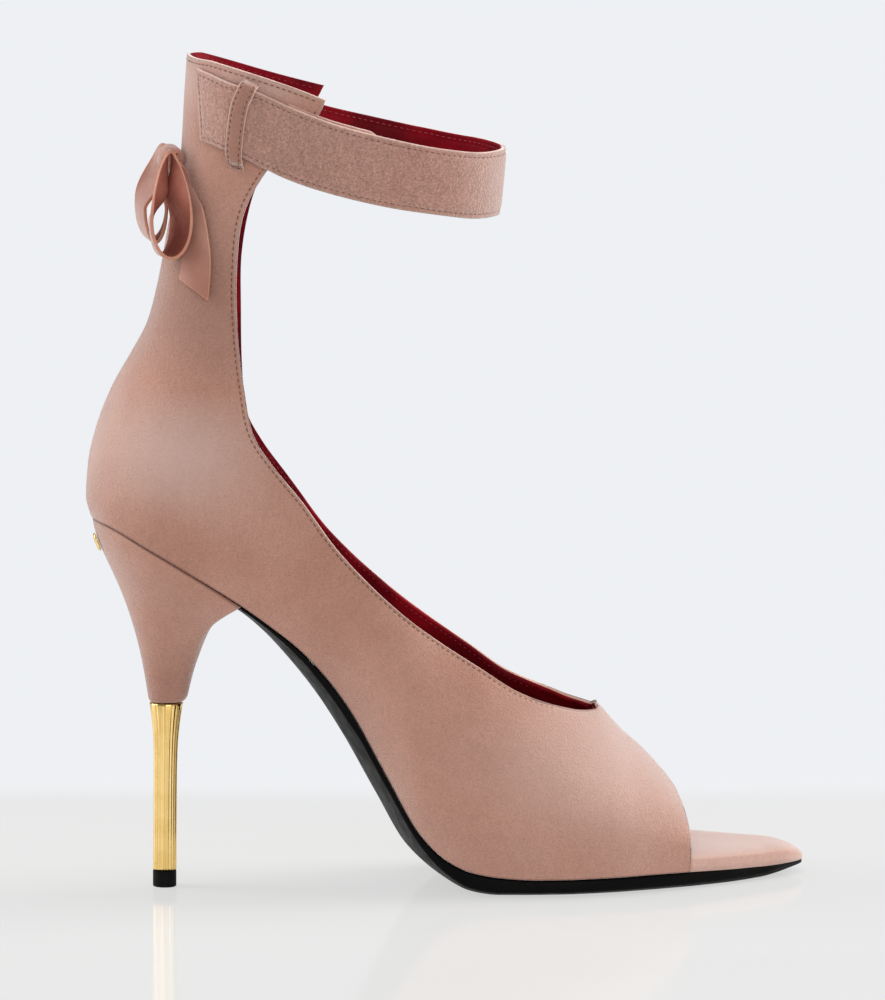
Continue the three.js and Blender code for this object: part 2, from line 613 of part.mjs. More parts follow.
// Gold stem: fluted round bar, widest under the block. up: share of its height. long: share of stemNeck - stemShank.
const stemRows = [
  { up: 0.0, long: 0.05, centre: 0.05 },
  { up: 0.3, long: 0.0, centre: 0.3 },
  { up: 0.6, long: 0.03, centre: 0.5 },
  { up: 0.75, long: 0.13, centre: 0.7 },
  { up: 0.87, long: 0.42, centre: 0.85 },
  { up: 1.0, long: 1.0, centre: 1.0 },
];
const stemLong = curveThrough(stemRows, (r) => r.up, (r) => r.long);
const stemCentre = curveThrough(stemRows, (r) => r.up, (r) => r.centre);
const stemBottom = topPieceHeight + clearance;
function stemRing(up) {
  const radius = (stemShank + (stemNeck - stemShank) * stemLong(up)) / 2;
  const steps = 4 * fluteCount;
  return Array.from({ length: steps }, (_, k) => {
    const turn = (2 * Math.PI * k) / steps;
    const r = radius - fluteDepth * (0.5 + 0.5 * Math.cos(fluteCount * turn));
    const x = stemNeckCentre * stemCentre(up) + r * Math.cos(turn);
    return new THREE.Vector3(x, r * Math.sin(turn), mix(stemBottom, stemTop, up));
  });
}
piece("heel_stem", loft([0, 0.3, 0.6, 0.75, 0.87, 1].map(stemRing)), gold, 0.18, 1);

// Top piece: the black wearing block, a little smaller at the floor.
const topPieceEdge = 0.25;
function topPieceRing(z, inset) {
  return Array.from({ length: 32 }, (_, k) => {
    const turn = (2 * Math.PI * k) / 32;
    const x = (topPieceLength / 2 - inset) * Math.cos(turn);
    return new THREE.Vector3(x, (topPieceWidth / 2 - inset) * Math.sin(turn), z);
  });
}
const topPieceRings = [
  topPieceRing(0, topPieceEdge),
  topPieceRing(topPieceEdge, 0),
  topPieceRing(topPieceHeight, 0),
];
piece("top_piece", loft(topPieceRings), black, 0.6);

// Stud: a plain gold half-round bar on the back of the heel block, just under the seam.
const studLength = 7.4;
const studWidth = 4.2;
const studHeight = 1.3;
const studDrop = 2.6; // upper end below the seat seam
function studSurface() {
  const place = (down) => {
    const z = seatHeight - studDrop - down;
    const share = (seatHeight - clearance - z) / (seatHeight - clearance - stemTop);
    return new THREE.Vector3(-backReach + (heelBack(share) - heelBack(0)) * blockLength, 0, z);
  };
  const [top, bottom] = [place(0), place(studLength)];
  const down = bottom.clone().sub(top).normalize();
  const out = new THREE.Vector3(down.z, 0, -down.x);
  const middle = top.clone().lerp(bottom, 0.5).addScaledVector(out, 1.5 * clearance);
  const levels = [
    { size: 1, height: 0 },
    { size: 1, height: 0.45 },
    { size: 0.86, height: 0.82 },
    { size: 0.55, height: 1 },
  ];
  const rings = levels.map(({ size, height }) =>
    Array.from({ length: 20 }, (_, k) => {
      const turn = (2 * Math.PI * k) / 20;
      const long = Math.sign(Math.cos(turn)) * Math.abs(Math.cos(turn)) ** 0.7;
      const p = middle.clone().addScaledVector(down, (studLength / 2) * size * long);
      p.y -= (studWidth / 2) * size * Math.sin(turn);
      return p.addScaledVector(out, studHeight * height);
    }),
  );
  return loft(rings);
}
piece("heel_stud", studSurface(), gold, 0.2, 1);

// A point that stands off the outside of the upper.
function offUpper(side, x, z, standoff) {
  const step = 0.4;
  const slopeX = (upperWidth(side, x + step, z) - upperWidth(side, x - step, z)) / (2 * step);
  const slopeZ = (upperWidth(side, x, z + step) - upperWidth(side, x, z - step)) / (2 * step);
  const out = new THREE.Vector3(-slopeX, sideSign[side], -slopeZ).normalize();
  return upperPoint(side, x, z).addScaledVector(out, standoff);
}

// Ankle strap: hugs the outer side of the shaft, runs round the front of the ankle, and is joined to the
// inner side.
const strapHigh = column(strapRows, "high");
const strapFar = column(strapRows, "far");
const strapTall = column(strapRows, "tall");
const strapHug = 1.6 * clearance;
const strapLeave = xOf(0.325); // where the strap leaves the wings
// Ends of the strap in front of the back seam, at its upper and its lower corner.
const strapEnds = {
  outer: { high: 1.9, low: 3.4 },
  inner: { high: 8, low: 9 },
};
function strapMiddle(side, x) {
  const extra = side === "inner" ? strapFar(alongOf(x)) : 0;
  return collarHeight * (strapHigh(alongOf(x)) + extra);
}
const strapHalf = (x) => (strapWidth * strapTall(alongOf(x))) / 2;
// A point of the strap's inner face. across: -1 at its lower edge, 1 at its upper edge.
function strapPoint(side, x, across) {
  const near = Math.min(x, strapLeave);
  const hugged = offUpper(side, near, strapMiddle(side, near) + across * strapHalf(near), strapHug);
  const beyond = clamp01((x - strapLeave) / (strapNose - strapLeave));
  const swell = sideSign[side] * strapSwell * smooth(beyond / 0.5);
  return new THREE.Vector3(
    mix(hugged.x, strapNose + across * strapTilt, beyond),
    (hugged.y + swell) * Math.sqrt(1 - beyond ** 3),
    strapMiddle(side, x) + across * strapHalf(x),
  );
}
const hugSteps = 10;
const roundSteps = 24;
function strapLine(across) {
  const share = (1 + across) / 2;
  const hugLine = (side) =>
    Array.from({ length: hugSteps }, (_, k) => {
      const endZ = strapMiddle(side, xOf(0.14)) + across * strapHalf(xOf(0.14));
      const from = backX(endZ) + mix(strapEnds[side].low, strapEnds[side].high, share);
      return strapPoint(side, mix(from, strapLeave, (k / hugSteps) ** 2), across);
    });
  const roundLine = Array.from({ length: roundSteps + 1 }, (_, k) => {
    const x = mix(strapLeave, strapNose, Math.sin((Math.PI * k) / roundSteps) ** (2 / 3));
    return strapPoint(2 * k <= roundSteps ? "outer" : "inner", x, across);
  });
  return [...hugLine("outer"), ...roundLine, ...hugLine("inner").reverse()];
}
const strapSurface = new Surface();
strapSurface.grid([-1, -0.34, 0.34, 1].map(strapLine), true);
piece("ankle_strap", strapSurface.thicken(strapThickness), suede, 0.95);

// Keeper: a narrow band over the strap, with its sewn ends on the shaft. up: height from the strap's middle.
// lean: how far it bows forward there.
const overStrap = strapThickness + 3 * clearance;
const strapEdge = strapHalf(keeperReach);
const keeperRows = [
  { up: strapEdge + 2.2, off: clearance, lean: 3.1 },
  { up: strapEdge + 1.4, off: 0.55 * overStrap, lean: 2.8 },
  { up: strapEdge + 0.7, off: 0.92 * overStrap, lean: 2.6 },
  { up: strapEdge - 0.8, off: overStrap, lean: 2.3 },
  { up: 0.5 * strapEdge, off: overStrap, lean: 1.1 },
  { up: 0, off: overStrap, lean: 0 },
  { up: -0.5 * strapEdge, off: overStrap, lean: -0.9 },
  { up: -strapEdge + 0.8, off: overStrap, lean: -1.2 },
  { up: -strapEdge - 0.7, off: 0.92 * overStrap, lean: -1.3 },
  { up: -strapEdge - 1.6, off: 0.5 * overStrap, lean: -1.4 },
  { up: -strapEdge - 2.6, off: 1.2 * clearance, lean: -1.5 },
  { up: -strapEdge - keeperTail, off: clearance, lean: -1.6 },
];
const keeperSurface = new Surface();
keeperSurface.grid(
  keeperRows.map(({ up, off, lean }) =>
    [-0.5, 0, 0.5].map((share) => {
      const x = keeperReach + lean + share * keeperWidth;
      return offUpper("outer", x, strapMiddle("outer", x) + up, off);
    }),
  ),
);
piece("strap_keeper", keeperSurface.thicken(keeperThickness), suede, 0.95);

// Bow knot: a band across the back seam, rounded at its ends.
const knotZ = collarHeight * knotHigh;
const knotBack = backX(knotZ) - clearance;
function knotRing(share) {
  const size = Math.sqrt(1 - 0.8 * share ** 4);
  const y = (knotWidth / 2) * share;
  const surfaceX = (high) => {
    const z = knotZ + high;
    const t = y / ((shaftWidth / 2) * shaftShare(upOf(z)));
    return backX(z) - clearance + shaftWidth * wrapShare(upOf(z)) * (1 - Math.sqrt(1 - t ** 2));
  };
  return Array.from({ length: 16 }, (_, k) => {
    const turn = (2 * Math.PI * k) / 16;
    const high = (knotHeight / 2) * size * Math.sin(turn);
    const inward = surfaceX(high) - 0.1;
    const outward = inward - knotDepth * size;
    const c = Math.sign(Math.cos(turn)) * Math.abs(Math.cos(turn)) ** 0.7;
    return new THREE.Vector3(mix(outward, inward, (1 + c) / 2), y, knotZ + high);
  });
}
piece("bow_knot", loft([-1, -0.85, -0.5, 0, 0.5, 0.85, 1].map(knotRing), true), ribbon, 0.5);

// Bow loops: closed teardrops of ribbon that hang from the knot's sides. Each edge of the ribbon is a
// teardrop in a plane of its own: y from the seam, middle and half of its reach along the shoe.
const loopShapes = {
  outer: {
    drop: loopDrop,
    near: { y: 8, middle: -2.8, half: 3.5 },
    far: { y: 8 + loopSplay, middle: -0.8, half: 6.3 },
  },
  inner: {
    drop: 0.95 * loopDrop,
    near: { y: 7, middle: -2.25, half: 3.6 },
    far: { y: 7 + loopSplay, middle: -2.2, half: 5 },
  },
};
const loopTop = new THREE.Vector3(knotBack - 0.64 * knotDepth, knotWidth / 2 + 0.1, knotZ + 2.2);
const loopGather = 3; // width of the ribbon where it leaves the knot
const foldReach = 4; // roundness of the fold at the top of a loop
function loopPoint(side, across, turn) {
  const shape = loopShapes[side];
  const drop = (1 - Math.cos(turn)) / 2;
  const spread = smooth(drop / 0.55);
  const half = mix(shape.near.half, shape.far.half, across);
  // Half width of the teardrop at this depth: widest at 0.62 of the drop, with a small round fold on top.
  const belly = half * 2.38 * drop ** 0.8 * Math.sqrt(1 - drop);
  const fold = foldReach * Math.sin(turn) * Math.exp(-5 * drop);
  const x = loopTop.x + mix(shape.near.middle, shape.far.middle, across) * spread;
  const gathered = loopTop.y + across * loopGather;
  const y = mix(gathered, mix(shape.near.y, shape.far.y, across), spread);
  const reach = Math.sign(Math.sin(turn)) * Math.hypot(belly, fold);
  return new THREE.Vector3(x - reach, sideSign[side] * y, loopTop.z - shape.drop * drop);
}
const loopSteps = 28;
["outer", "inner"].forEach((side) => {
  const loop = new Surface();
  loop.grid(
    [0, 0.5, 1].map((across) =>
      Array.from({ length: loopSteps + 1 }, (_, k) =>
        loopPoint(side, across, k === loopSteps ? 0 : (2 * Math.PI * k) / loopSteps),
      ),
    ),
    side === "inner",
  );
  piece(side === "outer" ? "bow_loop_outer" : "bow_loop_inner", loop.thicken(ribbonThickness), ribbon, 0.5);
});

// Bow tails: flat ends of the ribbon that leave the knot's sides and lie along the shaft, cut to a point.
// down: share of the tail. back and front: edges from the back seam. off: how far it stands off the shaft.
const tailRows = [
  { down: 0, back: 1.0, front: 2.8, off: 0.5 },
  { down: 0.16, back: 1.8, front: 4.5, off: 0.9 },
  { down: 0.33, back: 3.2, front: 7.3, off: 0.9 },
  { down: 0.51, back: 4.2, front: 9.8, off: 0.8 },
  { down: 0.7, back: 4.6, front: 11.7, off: 0.8 },
  { down: 1, back: 5.0, front: 13.2, off: 1.1 },
];
const tailColumn = (name) => curveThrough(tailRows, (r) => r.down, (r) => r[name]);
const [tailBack, tailFront, tailOff] = [tailColumn("back"), tailColumn("front"), tailColumn("off")];
const tailLanding = 0.36; // share of the tail that hangs between the knot and the shaft
const tailSteps = 12;
function tailPoint(side, down, across) {
  const z = knotZ - down * (tailDrop - tailCut * (1 - across));
  const x = backX(z) + mix(tailBack(down), tailFront(down), across);
  const gathered = new THREE.Vector3(
    knotBack - knotDepth * mix(0.22, -0.08, across),
    sideSign[side] * (knotWidth / 2 + clearance + 0.6 * across),
    z,
  );
  return gathered.lerp(offUpper(side, x, z, tailOff(down)), smooth(down / tailLanding));
}
["outer", "inner"].forEach((side) => {
  const tail = new Surface();
  const rows = Array.from({ length: tailSteps + 1 }, (_, j) =>
    [0, 0.33, 0.67, 1].map((across) => tailPoint(side, j / tailSteps, across)),
  );
  tail.grid(rows, side === "inner");
  piece(side === "outer" ? "bow_tail_outer" : "bow_tail_inner", tail.thicken(ribbonThickness), ribbon, 0.5);
});

export default shoe;
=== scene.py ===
import bpy
import numpy as np
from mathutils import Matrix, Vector


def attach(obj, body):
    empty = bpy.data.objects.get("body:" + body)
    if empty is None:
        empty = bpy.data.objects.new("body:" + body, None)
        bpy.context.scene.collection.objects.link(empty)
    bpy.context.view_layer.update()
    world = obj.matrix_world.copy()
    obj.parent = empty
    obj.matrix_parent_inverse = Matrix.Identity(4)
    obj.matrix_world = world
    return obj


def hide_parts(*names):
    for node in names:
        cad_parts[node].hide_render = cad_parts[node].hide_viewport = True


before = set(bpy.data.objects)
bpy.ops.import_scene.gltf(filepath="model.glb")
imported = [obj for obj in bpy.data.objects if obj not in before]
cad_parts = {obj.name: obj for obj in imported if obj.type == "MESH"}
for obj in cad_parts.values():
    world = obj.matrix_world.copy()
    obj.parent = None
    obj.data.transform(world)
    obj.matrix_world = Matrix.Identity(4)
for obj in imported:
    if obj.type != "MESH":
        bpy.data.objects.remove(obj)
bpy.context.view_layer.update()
print("frame loaded")


# Curves and numbers.
def curveThrough(xs, ys):
    # Cubic pieces through (x, y): y = y0 q^2 (1+2s) + y1 s^2 (1+2q) + h s q (m0 q - m1 s), q = 1 - s,
    # with m the harmonic mean of the slopes on both sides, or 0 where they differ in sign.
    xs, ys = np.array(xs, float), np.array(ys, float)
    slope = np.diff(ys) / np.diff(xs)
    left, right = slope[:-1], slope[1:]
    same = left * right > 0
    inner = np.where(same, 2 * left * right / np.where(same, left + right, 1), 0)
    m = np.concatenate([slope[:1], inner, slope[-1:]])

    def at(x):
        x = np.clip(np.asarray(x, float), xs[0], xs[-1])
        i = np.clip(np.searchsorted(xs, x) - 1, 0, len(xs) - 2)
        h = xs[i + 1] - xs[i]
        s = (x - xs[i]) / h
        q = 1 - s
        return ys[i] * q * q * (1 + 2 * s) + ys[i + 1] * s * s * (1 + 2 * q) + h * s * q * (m[i] * q - m[i + 1] * s)

    return at


def tableCurves(rows):
    # One curve for each column after the first, all of them functions of the first.
    columns = np.array(rows, float).T
    return [curveThrough(columns[0], c) for c in columns[1:]]


def mix(a, b, t):
    return a + (b - a) * t


def smooth(t):
    t = np.clip(t, 0, 1)
    return t * t * (3 - 2 * t)


def roundOff(t, power):
    # (1 - (1 - t)^p)^(1/p): 0 at t = 0 with an upright start, 1 from t = 1 on.
    return (1 - (1 - np.clip(t, 0, 1)) ** power) ** (1 / power)


def unit(v):
    return v / np.maximum(np.linalg.norm(v, axis=-1, keepdims=True), 1e-9)


def pathThrough(points, perPiece=40):
    # Smooth path through points, each piece a cubic whose ends turn as the square roots of the
    # distances between the points say.
    p = np.array(points, float)
    p = np.vstack([2 * p[0] - p[1], p, 2 * p[-1] - p[-2]])
    d = np.sqrt(np.linalg.norm(np.diff(p, axis=0), axis=1))[:, None]
    p0, p1, p2, p3 = p[:-3], p[1:-2], p[2:-1], p[3:]
    d0, d1, d2 = d[:-2], d[1:-1], d[2:]
    t1 = ((p1 - p0) / d0 - (p2 - p0) / (d0 + d1) + (p2 - p1) / d1) * d1
    t2 = ((p2 - p1) / d1 - (p3 - p1) / (d1 + d2) + (p3 - p2) / d2) * d1
    s = (np.arange(perPiece) / perPiece)[None, :, None]
    a, b = p1[:, None], t1[:, None]
    c = (-3 * p1 + 3 * p2 - 2 * t1 - t2)[:, None]
    e = (2 * p1 - 2 * p2 + t1 + t2)[:, None]
    made = (a + b * s + c * s**2 + e * s**3).reshape(-1, p.shape[1])
    return np.vstack([made, p[-2]])


def evenly(path, count):
    # The path cut into count equal steps.
    length = np.concatenate([[0], np.cumsum(np.linalg.norm(np.diff(path, axis=0), axis=1))])
    wanted = np.linspace(0, length[-1], count + 1)
    return np.stack([np.interp(wanted, length, path[:, k]) for k in range(path.shape[1])], -1)


# The last and the upper's outer face, as in the frame.
last = {
    "footLength": 209, "backReach": 21, "seatHeight": 108.3, "soleDepth": 5.1, "toeSpring": 2.8,
    "ballWidth": 76, "waistWidth": 34, "seatWidth": 47, "seatRound": 26, "tipRound": 14, "toeSwing": 2.2,
    "instepHeight": 46,
}
shaft = {"height": 135, "lean": 28, "width": 46}
clearance = 0.3
rise = last["seatHeight"] - last["soleDepth"]
collarHeight = last["seatHeight"] + shaft["height"]
toeTip = last["footLength"] - last["backReach"]

# along, feather, tread, lift, depth
featherRise, treadRise, toeLift, depthShare = tableCurves([
    (0.0, 1.0, 1.0, 0, 1), (0.014, 0.992, 0.99, 0, 1), (0.06, 0.941, 0.94, 0, 1), (0.13, 0.855, 0.87, 0, 1),
    (0.198, 0.764, 0.79, 0, 1), (0.235, 0.708, 0.728, 0, 1), (0.279, 0.635, 0.63, 0, 1),
    (0.315, 0.557, 0.535, 0, 1), (0.351, 0.455, 0.42, 0, 1), (0.397, 0.28, 0.252, 0, 1),
    (0.441, 0.117, 0.1, 0, 1), (0.475, 0.049, 0.042, 0, 1), (0.509, 0.018, 0.01, 0, 1),
    (0.546, 0.006, 0, 0, 1), (0.6, 0, 0, 0, 1), (0.74, 0, 0, 0, 1), (0.818, 0, 0, 0, 0.95),
    (0.87, 0, 0, 0.03, 0.85), (0.926, 0, 0, 0.17, 0.69), (0.954, 0, 0, 0.45, 0.52),
    (0.976, 0, 0, 0.75, 0.34), (1.0, 0, 0, 1, 0.2),
])
seatW, waistW, ballW = last["seatWidth"], last["waistWidth"], last["ballWidth"]
outline = np.array([
    (0.0, seatW, 0.5, 0.5), (0.1, seatW, 0.5, 0.5), (0.196, seatW, 0.42, 0.41), (0.278, waistW, 0.5, 0.48),
    (0.349, waistW, 0.52, 0.45), (0.397, ballW, 0.275, 0.225), (0.44, ballW, 0.345, 0.28),
    (0.507, ballW, 0.437, 0.385), (0.579, ballW, 0.488, 0.456), (0.636, ballW, 0.5, 0.487),
    (0.699, ballW, 0.477, 0.492), (0.756, ballW, 0.43, 0.46), (0.818, ballW, 0.368, 0.392),
    (0.885, ballW, 0.285, 0.3), (0.933, ballW, 0.21, 0.22), (1.0, ballW, 0.125, 0.125),
])
halfWidth = {
    "outer": curveThrough(outline[:, 0], outline[:, 1] * outline[:, 2]),
    "inner": curveThrough(outline[:, 0], outline[:, 1] * outline[:, 3]),
}
# along, bulge, girth, crown, crest
bulge, girth, crown, crest = tableCurves([
    (0.0, 0.03, 0.33, 3.1, 1.6), (0.1, 0.04, 0.36, 3.1, 1.6), (0.196, 0.085, 0.52, 2.8, 1.6),
    (0.278, 0.128, 0.64, 2.49, 1.6), (0.349, 0.143, 0.64, 2.28, 1.5), (0.411, 0.118, 0.56, 2.17, 1.4),
    (0.507, 0.04, 0.38, 1.98, 1.3), (0.579, 0.02, 0.3, 1.63, 1.25), (0.641, 0.017, 0.26, 1.31, 1.25),
    (0.708, 0.017, 0.24, 1.0, 1.35), (0.74, 0.017, 0.22, 0.835, 1.5), (0.768, 0.017, 0.2, 0.72, 1.65),
    (0.796, 0.016, 0.18, 0.585, 1.75), (0.818, 0.016, 0.16, 0.46, 1.8),
])
# up, back, width, wrap
backShare, shaftShare, wrapShare = tableCurves([
    (0.0, 0.0, 1.08, 0.565), (0.045, -0.053, 1.13, 0.6), (0.115, -0.032, 1.17, 0.62), (0.2, 0.061, 1.15, 0.61),
    (0.275, 0.204, 1.1, 0.59), (0.355, 0.42, 1.03, 0.55), (0.425, 0.593, 0.98, 0.52), (0.507, 0.7, 0.94, 0.49),
    (0.62, 0.8, 0.93, 0.48), (0.78, 0.94, 1.0, 0.49), (0.915, 0.98, 1.06, 0.51), (1.0, 1.01, 1.09, 0.52),
])
sideSign = {"outer": -1, "inner": 1}


def alongOf(x):
    return (x + last["backReach"]) / last["footLength"]


def xOf(along):
    return along * last["footLength"] - last["backReach"]


def featherZ(x):
    a = alongOf(x)
    return rise * featherRise(a) + last["toeSpring"] * toeLift(a) + last["soleDepth"] * depthShare(a)


def treadZ(x):
    return rise * treadRise(alongOf(x)) + last["toeSpring"] * toeLift(alongOf(x))


def edgeWidth(side, x, inset=0.0):
    # Half width of the feather edge, rounded off over the seat and over the toe tip.
    seat = roundOff((x + last["backReach"] - inset) / (last["seatRound"] - inset), 2.2)
    tip = roundOff((toeTip - inset - x) / (last["tipRound"] - inset), 2)
    return (halfWidth[side](alongOf(x)) - inset) * seat * tip


def centreY(x):
    return last["toeSwing"] * smooth((alongOf(x) - 0.7) / 0.3)


def ridgeZ(x):
    return featherZ(x) + last["instepHeight"] * crown(alongOf(x))


def upOf(z):
    return (z - last["seatHeight"]) / shaft["height"]


def backX(z):
    return shaft["lean"] * backShare(upOf(z)) - last["backReach"]


def upperWidth(side, x, z):
    # Shaft: w sqrt(1 - (1 - t)^2) from the back seam. Dome: w (1 - c^2)^(1/crest) under the ridge.
    # The two run into each other across the ankle, and below the girth both curve in to the edge.
    fromBack = x - backX(z)
    edge = edgeWidth(side, fromBack + backX(last["seatHeight"]))
    wrap = shaft["width"] * wrapShare(upOf(z))
    rounded = (shaft["width"] / 2) * shaftShare(upOf(z)) * roundOff(fromBack / wrap, 2)
    girthZ = featherZ(x) + last["instepHeight"] * girth(alongOf(x))
    widest = edgeWidth(side, x) + ballW * bulge(alongOf(x))
    climb = np.clip((z - girthZ) / (ridgeZ(x) - girthZ), 0, 1)
    dome = widest * (1 - climb**2) ** (1 / crest(alongOf(x)))
    forward = smooth((x - 0.6 * (z - 0.92 * last["seatHeight"])) / (0.29 * last["footLength"]))
    low = np.clip((z - featherZ(x)) / (girthZ - featherZ(x)), 0, 1)
    return mix(edge, mix(rounded, dome, forward), 1 - (1 - low) ** 2)


def upperPoint(side, x, z):
    y = centreY(x) + sideSign[side] * upperWidth(side, x, z)
    return np.stack(np.broadcast_arrays(x, y, z), -1)


def upperOut(side, x, z, step=0.4):
    slopeX = (upperWidth(side, x + step, z) - upperWidth(side, x - step, z)) / (2 * step)
    slopeZ = (upperWidth(side, x, z + step) - upperWidth(side, x, z - step)) / (2 * step)
    return unit(np.stack(np.broadcast_arrays(-slopeX, sideSign[side], -slopeZ), -1))


def offUpper(side, x, z, standoff):
    return upperPoint(side, x, z) + upperOut(side, x, z) * np.asarray(standoff)[..., None]


# Meshes worked out from grids.
def gridQuads(rows, columns, wrap=False):
    j, i = np.meshgrid(np.arange(rows - 1), np.arange(columns if wrap else columns - 1), indexing="ij")
    k = (i + 1) % columns
    return np.stack([j * columns + i, j * columns + k, (j + 1) * columns + k, (j + 1) * columns + i], -1).reshape(-1, 4)


def weld(verts, quads, values=()):
    # Joins points closer than a thousandth of a millimetre.
    _, first, back = np.unique(np.round(verts * 1000).astype(np.int64), axis=0, return_index=True, return_inverse=True)
    return verts[first], back.reshape(-1)[quads], [v[first] for v in values]


def faceNormals(verts, quads):
    return np.cross(verts[quads[:, 2]] - verts[quads[:, 0]], verts[quads[:, 3]] - verts[quads[:, 1]])


def vertexNormals(verts, quads):
    n = faceNormals(verts, quads)
    total = np.zeros_like(verts)
    for k in range(4):
        np.add.at(total, quads[:, k], n)
    return unit(total)


def shell(verts, quads, wall, roundness=0.6, steps=8, outerSteps=8, values=(), square=None, normals=None):
    # Outer skin p, inner skin p - w n, and round the open edge a rim
    # c + n (w/2) cos a + r (w/2) roundness sin a, c halfway between the skins, r pointing off the edge.
    # The skins stop short by the rim's reach. Points marked square keep a straight-cut edge, faced
    # with the inner material.
    wall = np.broadcast_to(np.asarray(wall, float), (len(verts),))[:, None]
    n = vertexNormals(verts, quads) if normals is None else normals
    count = len(verts)
    pairs = np.concatenate([quads[:, [k, (k + 1) % 4]] for k in range(4)])
    pairs = pairs[pairs[:, 0] != pairs[:, 1]]
    forward, backward = pairs[:, 0] * count + pairs[:, 1], pairs[:, 1] * count + pairs[:, 0]
    border = pairs[~np.isin(forward, backward)]
    along = np.zeros_like(verts)
    step = unit(verts[border[:, 1]] - verts[border[:, 0]])
    np.add.at(along, border[:, 0], step)
    np.add.at(along, border[:, 1], step)
    ids = np.unique(border)
    off = unit(np.cross(along[ids], n[ids]))
    half = wall[ids] / 2
    roundness = np.full((len(ids), 1), float(roundness)) if square is None else roundness * ~square[ids][:, None]
    verts = verts.copy()
    verts[ids] -= off * half * roundness
    inner = verts - wall * n
    middle = (verts[ids] + inner[ids]) / 2
    angles = [np.pi * k / steps for k in range(1, steps)]
    rim = [middle + n[ids] * half * np.cos(a) + off * half * roundness * np.sin(a) for a in angles]
    place = np.zeros(count, int)
    place[ids] = np.arange(len(ids))
    levels = [np.arange(count)] + [2 * count + k * len(ids) + place for k in range(steps - 1)] + [count + np.arange(count)]
    a, b = border[:, 0], border[:, 1]
    rimQuads = [np.stack([levels[k][b], levels[k][a], levels[k + 1][a], levels[k + 1][b]], -1) for k in range(steps)]
    allQuads = np.concatenate([quads, count + quads[:, ::-1]] + rimQuads)
    counts = [len(quads), len(quads), len(border) * outerSteps, len(border) * (steps - outerSteps)]
    kinds = np.repeat([0, 1, 2, 1], counts)
    if square is not None:
        cut = np.tile(square[border].all(1), outerSteps)
        kinds[2 * len(quads) : 2 * len(quads) + len(cut)][cut] = 1
    more = [np.concatenate([v, v] + [v[ids]] * (steps - 1)) for v in values]
    return np.concatenate([verts, inner] + rim), allQuads, kinds, more


def capped(rings, flip=False):
    # Closed skin over a row of closed rings, each end drawn together on its middle.
    count, size = rings.shape[:2]
    verts = np.concatenate([rings.reshape(-1, 3), rings[0].mean(0)[None], rings[-1].mean(0)[None]])
    quads = gridQuads(count, size, wrap=True)
    i = np.arange(size)
    k = (i + 1) % size
    start = np.stack([np.full(size, count * size), k, i, i], -1)
    stop = np.stack([np.full(size, count * size + 1), (count - 1) * size + i, (count - 1) * size + k, (count - 1) * size + k], -1)
    quads = np.concatenate([quads, start, stop])
    return verts, quads[:, ::-1] if flip else quads


def makePiece(name, verts, quads, materials, node=None, kinds=None, values=None, bevel=None):
    same = np.stack([quads[:, k] == quads[:, (k + 1) % 4] for k in range(4)], -1)
    isQuad = ~same.any(1)
    isTri = same.sum(1) == 1
    tris = quads[isTri][~same[isTri]].reshape(-1, 3)
    kinds = np.zeros(len(quads), int) if kinds is None else kinds
    mesh = bpy.data.meshes.new(name)
    loops = np.concatenate([quads[isQuad].reshape(-1), tris.reshape(-1)])
    sizes = np.concatenate([np.full(isQuad.sum(), 4), np.full(len(tris), 3)])
    mesh.vertices.add(len(verts))
    mesh.vertices.foreach_set("co", (verts / 1000).astype(np.float32).reshape(-1))
    mesh.loops.add(len(loops))
    mesh.loops.foreach_set("vertex_index", loops.astype(np.int32))
    mesh.polygons.add(len(sizes))
    mesh.polygons.foreach_set("loop_start", np.concatenate([[0], np.cumsum(sizes)[:-1]]).astype(np.int32))
    mesh.polygons.foreach_set("material_index", np.concatenate([kinds[isQuad], kinds[isTri]]).astype(np.int32))
    for m in materials:
        mesh.materials.append(m)
    for key, v in (values or {}).items():
        mesh.attributes.new(key, "FLOAT", "POINT").data.foreach_set("value", v.astype(np.float32))
    mesh.update(calc_edges=True)
    mesh.validate()
    mesh.polygons.foreach_set("use_smooth", np.ones(len(mesh.polygons), bool))
    piece = bpy.data.objects.new(name, mesh)
    bpy.context.scene.collection.objects.link(piece)
    if bevel:
        rounding = piece.modifiers.new("rounded edges", "BEVEL")
        rounding.width, rounding.segments, rounding.limit_method, rounding.angle_limit = bevel / 1000, 3, "ANGLE", 0.6
    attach(piece, "root")
    if node:
        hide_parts(node)
    return piece


# Effects that several materials share.
def addNode(tree, kind, **settings):
    made = tree.nodes.new(kind)
    for key, value in settings.items():
        if key in made.inputs:
            made.inputs[key].default_value = value
        else:
            setattr(made, key, value)
    return made


def newGroup(name, inputs, outputs):
    tree = bpy.data.node_groups.new(name, "ShaderNodeTree")
    for key, kind, value in inputs:
        socket = tree.interface.new_socket(key, in_out="INPUT", socket_type="NodeSocket" + kind)
        if value is not None:
            socket.default_value = value
    for key, kind in outputs:
        tree.interface.new_socket(key, in_out="OUTPUT", socket_type="NodeSocket" + kind)
    return tree, tree.nodes.new("NodeGroupInput"), tree.nodes.new("NodeGroupOutput")


def mixColor(tree, factor, a, b, blend="MIX"):
    made = addNode(tree, "ShaderNodeMix", data_type="RGBA", blend_type=blend)
    for socket, source in zip((made.inputs[0], made.inputs[6], made.inputs[7]), (factor, a, b)):
        if isinstance(source, (int, float, tuple)):
            socket.default_value = source
        else:
            tree.links.new(source, socket)
    return made.outputs[2]


def span(tree, value, low, high, toLow=0.0, toHigh=1.0, kind="SMOOTHSTEP"):
    made = addNode(tree, "ShaderNodeMapRange", interpolation_type=kind)
    tree.links.new(value, made.inputs[0])
    for k, v in enumerate((low, high, toLow, toHigh), 1):
        if isinstance(v, (int, float)):
            made.inputs[k].default_value = v
        else:
            tree.links.new(v, made.inputs[k])
    return made.outputs[0]


